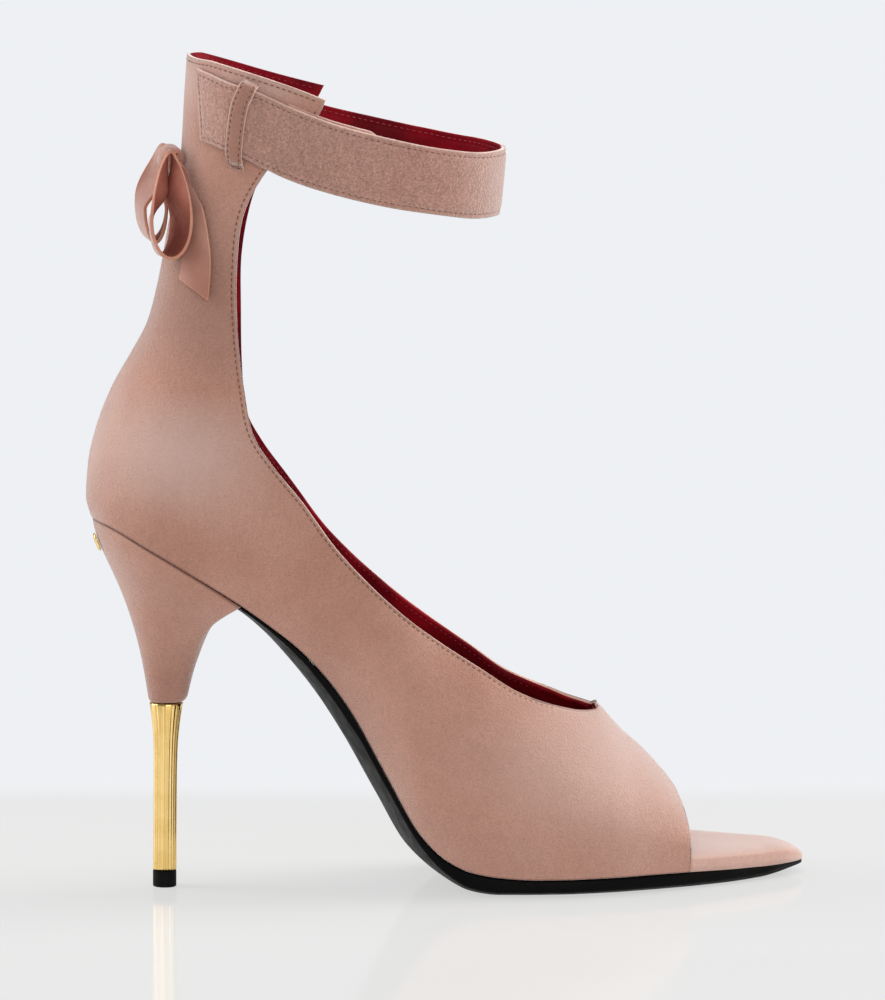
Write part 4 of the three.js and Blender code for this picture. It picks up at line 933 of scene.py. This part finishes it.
# Thickness: full in the middle, drawn in along the stitches and slimmer at the edges.
row = strap["stitchInset"]
thick = strap["thickness"] * (0.84 + 0.16 * smooth(fromEdge / 3.2)) - 0.16 * np.exp(-(((fromEdge - row) / 0.5) ** 2))
thick = thick * mix(0.62, 1.0, smooth(length / 16))[None]
inside = inside.reshape(-1, 3)
quads = gridQuads(rows, columns)
outNormals = vertexNormals(inside, quads)
outside = inside + outNormals * thick.reshape(-1)[:, None]
# Painted shade on the strap around x = 34 and painted light toward its nose, partly the nap's own tone.
tone = -0.25 * np.exp(-(((outside[:, 0] - 34) / 20) ** 2)) + 0.2 * smooth((outside[:, 0] - 78) / 16)
verts, quads, kinds, (rimDistance, tone) = shell(outside, quads, thick.reshape(-1), 0.6, 8, 5, [fromEdge.reshape(-1), tone])
makePiece(
    "ankleStrap", verts, quads, [strapSuede, redLining, rimSuede], "ankle_strap", kinds,
    {"rimDistance": rimDistance, "napAndPaintedLight": tone},
)

strapOut = outNormals.reshape(rows, columns, 3)
outsideGrid, insideGrid = outside.reshape(rows, columns, 3), inside.reshape(rows, columns, 3)
outsideRows, insideRows = [], []
low, high = (int(np.argmin(np.abs(shares - s))) for s in (-1 + row / half, 1 - row / half))
endColumn, stop = int(np.argmin(np.abs(length - row))), columns - 8
for j in (low, high):
    outsideRows.append(stitchRow(outsideGrid[j, endColumn:stop] - 0.03 * strapOut[j, endColumn:stop], strapOut[j, endColumn:stop]))
    insideRows.append(stitchRow(insideGrid[j, 50:stop] + 0.03 * strapOut[j, 50:stop], -strapOut[j, 50:stop]))
outsideRows.append(stitchRow(outsideGrid[low:high, endColumn] - 0.03 * strapOut[low:high, endColumn], strapOut[low:high, endColumn]))
makeStitches("strapStitches", outsideRows, darkThread)
makeStitches("strapLiningStitches", insideRows, redThread)

# A second layer inside the strap near the wing, its upper edge just above the strap's.
backing = {"from": 33, "to": 59.5, "low": 0.1, "high": 1.05, "gap": 0.1, "thickness": 1.1, "round": 3.5}
across = np.linspace(0, 1, 25)[:, None]
x = mix(backing["from"], backing["to"], 1 - (1 - np.linspace(0, 1, 60)) ** 1.6)[None]
narrowing = roundOff((backing["to"] - x) / backing["round"], 2)
topShare = backing["high"] - 0.3 * (1 - narrowing)
points = strapPoint("outer", x * np.ones_like(across), mix(backing["low"], topShare, across))
quads = gridQuads(25, 60)
points = points.reshape(-1, 3)
points = points - vertexNormals(points, quads) * backing["gap"]
verts, quads, kinds, _ = shell(points, quads, backing["thickness"], 0.6)
makePiece("strapBacking", verts, quads, [rimSuede, redLining, rimSuede], kinds=kinds)

keeper = {"width": 4.0, "thickness": 1.2, "reach": 20.3, "tail": 4.4, "across": 17, "steps": 90}
overStrap = strap["thickness"] + 3 * clearance
strapEdge = float(strapHalf(keeper["reach"]))
# up, off, lean
keeperRows = np.array([
    (strapEdge + 1.5, 0.05, 2.4), (strapEdge + 1, 0.55 * overStrap, 2.2), (strapEdge + 0.6, 0.95 * overStrap, 2),
    (strapEdge - 0.9, overStrap, 1.5), (0.5 * strapEdge, overStrap, 0.2), (0, overStrap, -0.6),
    (-0.5 * strapEdge, overStrap, -1.1), (-strapEdge + 0.8, overStrap, -1.4), (-strapEdge - 0.7, 0.92 * overStrap, -1.3),
    (-strapEdge - 1.6, 0.5 * overStrap, -1.4), (-strapEdge - 2.6, 0.1, -1.5), (-strapEdge - keeper["tail"], 0.02, -1.6),
])
upColumn, offColumn, leanColumn = tableCurves(np.column_stack([np.arange(len(keeperRows)), keeperRows]))
level = np.linspace(0, len(keeperRows) - 1, keeper["steps"])[:, None]
share = np.linspace(-0.5, 0.5, keeper["across"])[None]
x = keeper["reach"] + leanColumn(level) + share * keeper["width"]
z = strapMiddle("outer", x) + upColumn(level)
keeperInside = offUpper("outer", x, z, offColumn(level) * np.ones_like(x)).reshape(-1, 3)
keeperQuads = gridQuads(keeper["steps"], keeper["across"])[:, ::-1]
keeperOut = vertexNormals(keeperInside, keeperQuads)
keeperEdge = ((0.5 - np.abs(share)) * keeper["width"] * np.ones_like(level)).reshape(-1)
keeperThick = keeper["thickness"] * (0.8 + 0.2 * smooth(keeperEdge / 1.2))
keeperThick = keeperThick * mix(0.7, 1, smooth((len(keeperRows) - 1.6 - np.repeat(level[:, 0], keeper["across"])) / 1.2))
keeperOutside = keeperInside + keeperOut * keeperThick[:, None]
verts, quads, kinds, (rimDistance,) = shell(keeperOutside, keeperQuads, keeperThick, 0.8, values=[keeperEdge + 0.7])
# The keeper's suede is darkened as a whole through the same attribute, at -0.45.
makePiece(
    "strapKeeper", verts, quads, [upperSuede, upperSuede, rimSuede], "strap_keeper", kinds,
    {"rimDistance": rimDistance, "seamDistance": rimDistance + 5, "napAndPaintedLight": 0 * rimDistance - 0.45},
)
keeperOutside, keeperOut = keeperOutside.reshape(keeper["steps"], -1, 3), keeperOut.reshape(keeper["steps"], -1, 3)
rowsOfStitches = []
for column in (3, keeper["across"] - 4):
    path, out = keeperOutside[12:-3, column], keeperOut[12:-3, column]
    rowsOfStitches.append(stitchRow(path + 0.02 * out, out, 1.1, 0.55, 0.28))
rowsOfStitches.append(stitchRow(keeperOutside[-4, 2:-2] + 0.02 * keeperOut[-4, 2:-2], keeperOut[-4, 2:-2], 0.9, 0.35, 0.28))
makeStitches("keeperStitches", rowsOfStitches, darkThread)
print("strap made")


# The ribbon bow at the back seam.
bow = {
    "thickness": 1.0, "knotHigh": 0.875, "knotWidth": 12.4, "knotHeight": 7, "knotDepth": 6.4, "loopDrop": 30.7,
    "splay": 10.5, "gather": 3, "fold": 4, "tailDrop": 39.5, "tailCut": 5.5, "landing": 0.36,
}
knotZ = collarHeight * bow["knotHigh"]
knotBack = float(backX(knotZ)) - clearance


def knotRings():
    # A band across the back seam, y = (w/2) share, its section a flattened round that shrinks at both ends,
    # with gathers running along it: r (1 + 0.03 cos 7a).
    share = np.linspace(-1, 1, 41)[:, None]
    turn = (2 * np.pi * np.arange(72) / 72)[None]
    size = np.sqrt(1 - 0.8 * share**4)
    folds = 1 + 0.035 * np.cos(7 * turn + 2.2 * share) * (1 - 0.5 * np.abs(share))
    high = (bow["knotHeight"] / 2) * size * np.sin(turn) * folds
    y = (bow["knotWidth"] / 2) * share * np.ones_like(turn)
    z = knotZ + high
    t = y / ((shaft["width"] / 2) * shaftShare(upOf(z)))
    surface = backX(z) - clearance + shaft["width"] * wrapShare(upOf(z)) * (1 - np.sqrt(1 - t**2))
    inward = surface - 0.1
    outward = inward - bow["knotDepth"] * size * folds
    c = np.sign(np.cos(turn)) * np.abs(np.cos(turn)) ** 0.7
    return np.stack([mix(outward, inward, (1 + c) / 2), y, z], -1)


verts, quads = capped(knotRings())
if (faceNormals(verts, quads) * (verts[quads[:, 0]] - verts.mean(0))).sum() < 0:
    quads = quads[:, ::-1]
makePiece("bowKnot", verts, quads, [ribbonOutside], "bow_knot")

loopShapes = {
    "outer": {"drop": 30.7, "near": (8, -2.8, 3.5), "far": (18.5, -0.8, 6.3)},
    "inner": {"drop": 29.165, "near": (7, -2.25, 3.6), "far": (17.5, -2.2, 5)},
}
loopTop = np.array([knotBack - 0.62 * bow["knotDepth"], bow["knotWidth"] / 2 + 0.1, knotZ + 3])


def loopGrid(side, acrossCount=25, turnCount=180):
    # A teardrop: z = top - drop d, x = middle + hypot(half 2.38 d^0.8 sqrt(1 - d), fold), d = (1 - cos a) / 2.
    shape = loopShapes[side]
    across = np.linspace(0, 1, acrossCount)[:, None]
    turn = (2 * np.pi * np.arange(turnCount) / turnCount)[None]
    drop = (1 - np.cos(turn)) / 2
    spread = smooth(drop / 0.55)
    near, far = shape["near"], shape["far"]
    halfReach = mix(near[2], far[2], across)
    pinch = 1 - 0.92 * (1 - across) ** 0.8 * (1 - smooth((drop - 0.36) / 0.3))
    belly = halfReach * 2.38 * drop**0.8 * np.sqrt(1 - drop) * pinch
    fold = bow["fold"] * np.sin(turn) * np.exp(-5 * drop)
    pleat = 0.22 * np.sin(across * 3 * np.pi) * np.exp(-7 * drop)
    x = loopTop[0] + mix(near[1], far[1], across) * spread * mix(1, pinch, 0.8) - np.sign(np.sin(turn)) * np.hypot(belly, fold) + pleat
    y = mix(loopTop[1] + across * bow["gather"], mix(near[0], far[0], across), spread)
    z = loopTop[2] - shape["drop"] * drop
    return np.stack(np.broadcast_arrays(x, sideSign[side] * y, z), -1)


# down, back, front, off
tailBack, tailFront, tailOff = tableCurves([
    (0, 1.0, 2.8, 0.5), (0.16, 1.8, 4.5, 0.9), (0.33, 3.2, 7.3, 0.9), (0.51, 4.2, 9.8, 0.8), (0.7, 4.6, 11.7, 0.8), (1, 5.0, 13.2, 1.1),
])


def tailGrid(side, downCount=90, acrossCount=25):
    # From the knot's side to the shaft: mix(gathered, off the shaft, smooth(down / landing)).
    down = np.linspace(0, 1, downCount)[:, None]
    across = np.linspace(0, 1, acrossCount)[None]
    z = knotZ - down * (bow["tailDrop"] - bow["tailCut"] * (1 - across)) + 2.2 * (1 - smooth(down / 0.2))
    x = backX(z) + mix(tailBack(down), tailFront(down), across)
    gathered = np.stack(np.broadcast_arrays(
        knotBack - bow["knotDepth"] * mix(0.24, mix(0.42, -0.14, smooth(down / 0.12)), across),
        sideSign[side] * (bow["knotWidth"] / 2 + clearance + 0.6 * across),
        z,
    ), -1)
    hugged = offUpper(side, x, z, tailOff(down) * np.ones_like(x))
    return mix(gathered, hugged, smooth(down / bow["landing"])[..., None])


ribbonKinds = [ribbonOutside, ribbonInside, ribbonCut]
for side in ("outer", "inner"):
    points = loopGrid(side)
    quads = gridQuads(points.shape[0], points.shape[1], wrap=True)
    quads = quads[:, ::-1] if side == "inner" else quads
    verts, quads, kinds, _ = shell(points.reshape(-1, 3), quads, bow["thickness"], 0.5)
    makePiece("bowLoop" + side.capitalize(), verts, quads, ribbonKinds, "bow_loop_" + side, kinds)
    points = tailGrid(side)
    quads = gridQuads(points.shape[0], points.shape[1])
    quads = quads[:, ::-1] if side == "outer" else quads
    flat = points.reshape(-1, 3)
    outer = flat + vertexNormals(flat, quads) * bow["thickness"]
    verts, quads, kinds, _ = shell(outer, quads, bow["thickness"], 0.5)
    makePiece("bowTail" + side.capitalize(), verts, quads, ribbonKinds, "bow_tail_" + side, kinds)
print("bow made")


# The insole and the outsole.
insole = {
    "thickness": 3, "padding": 5, "nose": 12, "step": 149.9, "insideInset": 2.4, "shownInset": 0.4, "across": 49,
}


def profileNormal(x, step=0.5):
    slope = (featherZ(x + step) - featherZ(x - step)) / (2 * step)
    return unit(np.stack([-slope, np.zeros_like(slope), np.ones_like(slope)], -1))


def insoleRings():
    # Across: s from 1 to -1, height t (0.72 + 0.33 sqrt(1 - s^4)); the sides stand on the feather edge.
    step = insole["step"]
    x = np.concatenate([
        mix(insole["insideInset"] + 0.15 - last["backReach"], 0, np.linspace(0, 1, 40) ** 1.6)[:-1],
        np.linspace(0, step - 0.2, 120),
        mix(step, toeTip - insole["shownInset"] - 0.15, 1 - (1 - np.linspace(0, 1, 60)) ** 1.7),
    ])
    shown = x > step - 0.1
    inset = np.where(shown, insole["shownInset"], insole["insideInset"])
    padding = insole["padding"] * roundOff((toeTip - x) / insole["nose"], 2)
    thickness = np.where(shown, padding, mix(insole["thickness"], insole["padding"] - 0.3, smooth((x - 128) / 22)))
    s = np.cos(np.linspace(0, np.pi, insole["across"]))
    top = 0.72 + 0.33 * np.sqrt(1 - s**4)
    share = np.concatenate([s, [-1.004, -1.0, -0.6, 0, 0.6, 1.0, 1.004]])
    up = np.concatenate([top, [0.35, 0.02, 0, 0, 0, 0.02, 0.35]])
    y = np.zeros((len(x), len(share)))
    for side in ("outer", "inner"):
        chosen = (share < 0) == (side == "outer")
        width = np.stack([edgeWidth(side, a, b) for a, b in zip(x, inset)])[:, None] * share[None]
        y = np.where(chosen[None], width, y)
    base = np.stack(np.broadcast_arrays(x[:, None], centreY(x)[:, None] + y, featherZ(x)[:, None]), -1)
    return base + profileNormal(x)[:, None] * (up[None] * thickness[:, None])[..., None]


def outwards(verts, quads):
    # Turns the faces round if the solid's volume comes out negative.
    n = faceNormals(verts, quads)
    return quads if (n * (verts[quads[:, 0]] - verts.mean(0))).sum() > 0 else quads[:, ::-1]


verts, quads = capped(insoleRings())
makePiece("footbed", verts, outwards(verts, quads), [footbedSuede], "insole")

outsole = {"inset": 0.6, "corner": 0.18, "turn": 1.3, "waistTurn": 2.6, "breast": 20.6}


def outsoleRings():
    # Bottom: z = tread + turn out^2, out the share of the way across the part that turns up.
    # Side wall slightly bellied, top flat under the feather edge.
    x = np.concatenate([
        np.linspace(outsole["breast"], xOf(0.56), 110)[:-1],
        mix(xOf(0.56), toeTip - outsole["inset"] - 0.15, 1 - (1 - np.linspace(0, 1, 120)) ** 1.7),
    ])
    n = profileNormal(x)
    drop = -0.06 * n
    top = featherZ(x) + drop[:, 2]
    waist = 1 - smooth((alongOf(x) - 0.42) / 0.1)
    flat = mix(1 - outsole["corner"], 0, waist)
    tread = treadZ(x + drop[:, 0])
    turn = np.minimum(mix(outsole["turn"], outsole["waistTurn"] / n[:, 2], waist), 0.62 * (top - tread))
    s = np.sin(np.linspace(np.pi / 2, -np.pi / 2, 45)) * 0.985
    out = np.maximum(0, np.abs(s)[None] / 0.985 - flat[:, None]) / (1 - flat[:, None])
    bottom = tread[:, None] + turn[:, None] * out**2
    side = np.array([0.12, 0.4, 0.7, 0.93])
    wallZ = bottom[:, -1:] + (top[:, None] - bottom[:, -1:]) * side[None]
    wallShare = np.array([0.996, 1.0, 1.0, 0.996])
    share = np.concatenate([s, -wallShare, [-0.985, -0.5, 0, 0.5, 0.985], wallShare[::-1]])
    z = np.concatenate([bottom, wallZ, np.repeat(top[:, None], 5, 1), wallZ[:, ::-1]], 1)
    y = np.zeros_like(z)
    for name in ("outer", "inner"):
        y = np.where(((share < 0) == (name == "outer"))[None], edgeWidth(name, x, outsole["inset"])[:, None] * share[None], y)
    return np.stack(np.broadcast_arrays((x + drop[:, 0])[:, None], centreY(x)[:, None] + y, z), -1)


verts, quads = capped(outsoleRings())
makePiece("sole", verts, outwards(verts, quads), [soleBlack], "outsole")
print("sole and footbed made")


# The heel block, its stem, the top piece and the stud.
heel = {
    "breast": 20.2, "stemTop": 53.9, "neck": 9.8, "shank": 6.7, "flutes": 24, "fluteDepth": 0.16,
    "topHeight": 4.7, "topLength": 6.8, "topWidth": 7.4, "studLength": 5.4, "studWidth": 4.2, "studHeight": 0.9, "studDrop": 4.3,
}
blockLength = last["backReach"] + heel["breast"]
# down, back, front, wide
heelBack, heelFront, heelWide = tableCurves([
    (0.0, -0.472, 0.5, 1.0), (0.1, -0.4414, 0.4272, 0.9), (0.24, -0.3603, 0.3398, 0.7), (0.41, -0.2572, 0.2913, 0.5),
    (0.62, -0.1633, 0.233, 0.355), (0.83, -0.1043, 0.1917, 0.262), (0.95, -0.079, 0.1731, 0.225), (1.0, -0.0691, 0.1456, 0.2),
])


def blockBack(down):
    return -last["backReach"] + (heelBack(down) - heelBack(0)) * blockLength


def blockFront(down):
    return heel["breast"] + (heelFront(down) - heelFront(0)) * blockLength


neckCentre = float(blockBack(1) + blockFront(1)) / 2


def heelRings(levels=120, around=160):
    # From the seat's outline down to a round neck: mix(seat outline, rounded ring, smooth((down / 0.5)^0.6)).
    # Each level is averaged with its neighbours, and both ends are rolled in by roll (1 - quarter round).
    t = np.linspace(0, 1, levels)
    down = np.where(t < 0.5, 0.5 * (2 * t) ** 1.9, 1 - 0.5 * (2 - 2 * t) ** 1.9)[:, None]
    turn = (2 * np.pi * np.arange(around) / around)[None]
    back, front = blockBack(down), blockFront(down)
    reach = (1 - np.cos(turn)) / 2
    straight = 0.1
    seatShare = np.where(reach < straight, 1, 1 - (reach - straight) / (1 - straight))
    seatX = mix(-last["backReach"] + clearance, heel["breast"], seatShare)
    outerY, innerY = edgeWidth("outer", seatX, clearance), edgeWidth("inner", seatX, clearance)
    seatY = np.where(turn > np.pi, outerY, innerY) * np.where(reach < straight, np.sqrt(reach / straight), 1)
    roundX = mix(back, front, (1 + np.cos(turn)) / 2)
    roundY = (seatW / 2) * heelWide(down) * np.abs(np.sin(turn)) ** 0.9
    blend = smooth((down / 0.5) ** 0.6)
    x = mix(mix(back, front, (seatX + last["backReach"]) / blockLength), roundX, blend)
    y = mix(seatY * heelWide(down), roundY, blend) * np.where(turn > np.pi, -1, 1)
    for _ in range(60):
        x[1:-1] = (x[:-2] + 2 * x[1:-1] + x[2:]) / 4
        y[1:-1] = (y[:-2] + 2 * y[1:-1] + y[2:]) / 4
    seatLine = featherZ(seatX) - 0.1 / profileNormal(seatX)[..., 2]
    depth = seatLine - heel["stemTop"] - clearance
    z = mix(seatLine, heel["stemTop"] + clearance, down)
    roll = 0.35 * (1 - roundOff(down * depth / 0.9, 2)) + 0.7 * (1 - roundOff((1 - down) * depth / 1.2, 2))
    middle = (back + front) / 2
    size = np.maximum(np.hypot(x - middle, y), 1)
    x, y = x - roll * (x - middle) / size, y - roll * y / size
    return np.stack(np.broadcast_arrays(x, y, z), -1), down * depth


rings, seamDistance = heelRings()
verts, quads = capped(rings)
seamDistance = np.append(seamDistance.reshape(-1), [0, 9])
# The block darkens towards its lower end below z = 84 mm: painted shade.
makePiece(
    "heelBlock", verts, outwards(verts, quads), [heelSuede], "heel_block",
    values={"seamDistance": seamDistance, "napAndPaintedLight": -0.35 * smooth((84 - verts[:, 2]) / 26)},
)

# up, long, centre
stemLong, stemCentre = tableCurves([
    (0.0, 0.05, 0.05), (0.3, 0.0, 0.3), (0.6, 0.03, 0.5), (0.75, 0.13, 0.7), (0.87, 0.42, 0.85), (1.0, 1.0, 1.0),
])


def stemRings(levels=60, around=192):
    # r = radius - depth (0.5 + 0.5 cos(flutes a)), the edges of both ends broken by 0.25 mm.
    up = np.linspace(0, 1, levels)
    up = np.concatenate([[0, 0.003], up[1:-1], [0.997, 1]])[:, None]
    turn = (2 * np.pi * np.arange(around) / around)[None]
    radius = (heel["shank"] + (heel["neck"] - heel["shank"]) * stemLong(up)) / 2
    broken = 0.25 * ((up <= 0) | (up >= 1))
    depth = heel["fluteDepth"] * smooth((1 - up) / 0.03)
    r = radius - broken - depth * (0.5 + 0.5 * np.cos(heel["flutes"] * turn))
    x = neckCentre * stemCentre(up) + r * np.cos(turn)
    z = mix(heel["topHeight"] + clearance, heel["stemTop"], up)
    return np.stack(np.broadcast_arrays(x, r * np.sin(turn), z), -1)


verts, quads = capped(stemRings())
makePiece("heelStem", verts, outwards(verts, quads), [goldPlate], "heel_stem")


def topPieceRings():
    # An oval block, its lower edge rounded by 0.4 mm and its upper one by 0.15 mm.
    a = np.linspace(0, np.pi / 2, 6)
    z = np.concatenate([0.4 * (1 - np.cos(a)), heel["topHeight"] - 0.15 * (1 - np.sin(a))])[:, None]
    inset = np.concatenate([0.25 + 0.15 * (1 - np.sin(a)) - 0.25 * np.sin(a), 0.15 * (1 - np.cos(a))])[:, None]
    turn = (2 * np.pi * np.arange(96) / 96)[None]
    x = (heel["topLength"] / 2 - inset) * np.cos(turn)
    return np.stack(np.broadcast_arrays(x, (heel["topWidth"] / 2 - inset) * np.sin(turn), z), -1)


verts, quads = capped(topPieceRings())
makePiece("topPiece", verts, outwards(verts, quads), [topRubber], "top_piece")


def studRings():
    # A half-round oval: size and height follow (cos a)^0.6 and sin a.
    seat = last["seatHeight"]
    z = np.array([seat - heel["studDrop"], seat - heel["studDrop"] - heel["studLength"]])
    share = (seat - clearance - z) / (seat - clearance - heel["stemTop"])
    x = blockBack(share)
    top, bottom = np.array([x[0], 0, z[0]]), np.array([x[1], 0, z[1]])
    down = unit(bottom - top)
    out = np.array([down[2], 0, -down[0]])
    middle = (top + bottom) / 2 + out * 0.1
    a = np.linspace(0, np.pi / 2 * 0.96, 14)
    size = np.concatenate([[1.0], np.cos(a) ** 0.6])[:, None, None]
    height = np.concatenate([[0.0], 0.3 + 0.7 * np.sin(a)])[:, None, None]
    turn = (2 * np.pi * np.arange(64) / 64)[None, :, None]
    longWay = np.sign(np.cos(turn)) * np.abs(np.cos(turn)) ** 0.7
    ring = middle + down * (heel["studLength"] / 2) * size * longWay
    ring = ring - np.array([0, 1, 0]) * (heel["studWidth"] / 2) * size * np.sin(turn)
    return ring + out * heel["studHeight"] * height


verts, quads = capped(studRings())
makePiece("heelStud", verts, outwards(verts, quads), [goldPlate], "heel_stud")
print("heel made")


# Floor, light and camera.
def floorMaterial():
    # Pale floor with faint reflections, running softly into an even, faintly blue ground further back.
    material, tree, shader, place = startMaterial("pale floor", Roughness=1.0)
    shader.inputs["Specular IOR Level"].default_value = 0.0
    shader.inputs["Emission Strength"].default_value = 1.0
    axes = addNode(tree, "ShaderNodeSeparateXYZ")
    tree.links.new(place, axes.inputs[0])
    depth = math(tree, "ADD", math(tree, "MULTIPLY", axes.outputs["Y"], 0.99), math(tree, "MULTIPLY", axes.outputs["X"], 0.139))
    line = math(tree, "ADD", depth, math(tree, "MULTIPLY", noiseOf(tree, place, 3.0, 2.0, 0.5), 0.03))
    squares = [math(tree, "MULTIPLY", axes.outputs[k], axes.outputs[k]) for k in "XY"]
    around = math(tree, "SQRT", math(tree, "ADD", squares[0], squares[1]))
    far = math(tree, "MAXIMUM", span(tree, line, 0.15, 0.225), span(tree, around, 0.34, 0.55))
    tree.links.new(mixColor(tree, far, (0.17, 0.17, 0.17, 1.0), (0.0, 0.0, 0.0, 1.0)), shader.inputs["Base Color"])
    streaks = addNode(tree, "ShaderNodeMapping")
    streaks.inputs["Scale"].default_value = (0.5, 4.0, 1.0)
    tree.links.new(place, streaks.inputs["Vector"])
    cloud = span(tree, noiseOf(tree, streaks.outputs[0], 3.0, 2.0, 0.5), 0.4, 0.7)
    cloudy = mixColor(tree, cloud, (0.7, 0.7, 0.69, 1.0), (0.69, 0.69, 0.682, 1.0))
    tree.links.new(mixColor(tree, far, cloudy, srgb(238, 240, 244)), shader.inputs["Emission Color"])
    mirror = addNode(tree, "ShaderNodeBsdfAnisotropic", Roughness=0.09)
    both = addNode(tree, "ShaderNodeMixShader")
    tree.links.new(span(tree, far, 0.0, 1.0, 0.17, 0.0), both.inputs[0])
    tree.links.new(shader.outputs[0], both.inputs[1])
    tree.links.new(mirror.outputs[0], both.inputs[2])
    tree.links.new(both.outputs[0], tree.nodes["Material Output"].inputs["Surface"])
    return material


floorSize = 12.0
floorMesh = bpy.data.meshes.new("floor")
corners = np.array([(-1, -1), (1, -1), (1, 1), (-1, 1)]) * floorSize / 2
floorMesh.from_pydata([(float(a), float(b), 0.0) for a, b in corners], [], [(0, 1, 2, 3)])
floorMesh.materials.append(floorMaterial())
floor = bpy.data.objects.new("floor", floorMesh)
bpy.context.scene.collection.objects.link(floor)

world = bpy.data.worlds.new("studio")
bpy.context.scene.world = world
world.use_nodes = True
world.node_tree.nodes["Background"].inputs["Color"].default_value = srgb(238, 241, 246)
world.node_tree.nodes["Background"].inputs["Strength"].default_value = 0.38


def addSoftbox(name, place, aim, size, power, color=(1, 1, 1)):
    light = bpy.data.lights.new(name, "AREA")
    light.shape, light.size, light.size_y = "RECTANGLE", size[0], size[1]
    light.energy, light.color = power, color
    lamp = bpy.data.objects.new(name, light)
    lamp.location = place
    lamp.rotation_mode = "QUATERNION"
    lamp.rotation_quaternion = (Vector(aim) - Vector(place)).to_track_quat("-Z", "Y")
    bpy.context.scene.collection.objects.link(lamp)


aim = (0.08, 0.0, 0.1)
addSoftbox("leftBox", (-1.2, 0.3, 0.7), aim, (0.8, 1.4), 15)
addSoftbox("rightBox", (1.3, 0.25, 0.75), aim, (0.8, 1.4), 16)
addSoftbox("topBox", (0.15, 0.2, 1.7), aim, (1.6, 0.9), 14)
addSoftbox("frontFill", (0.3, -1.8, 0.7), aim, (1.6, 1.0), 13)

camera = bpy.data.cameras.new("camera")
camera.sensor_width, camera.lens = 36, 621
camera.clip_start, camera.clip_end = 0.1, 100
eye = bpy.data.objects.new("camera", camera)
place, target = Vector((-0.607709, -4.903146, 0.807294)), Vector((0.081384, 0.000008, 0.111429))
eye.location = place
eye.rotation_mode = "QUATERNION"
eye.rotation_quaternion = (target - place).to_track_quat("-Z", "Y")
bpy.context.scene.collection.objects.link(eye)
bpy.context.scene.camera = eye
bpy.context.scene.view_settings.view_transform = "Standard"

print("scene ready")
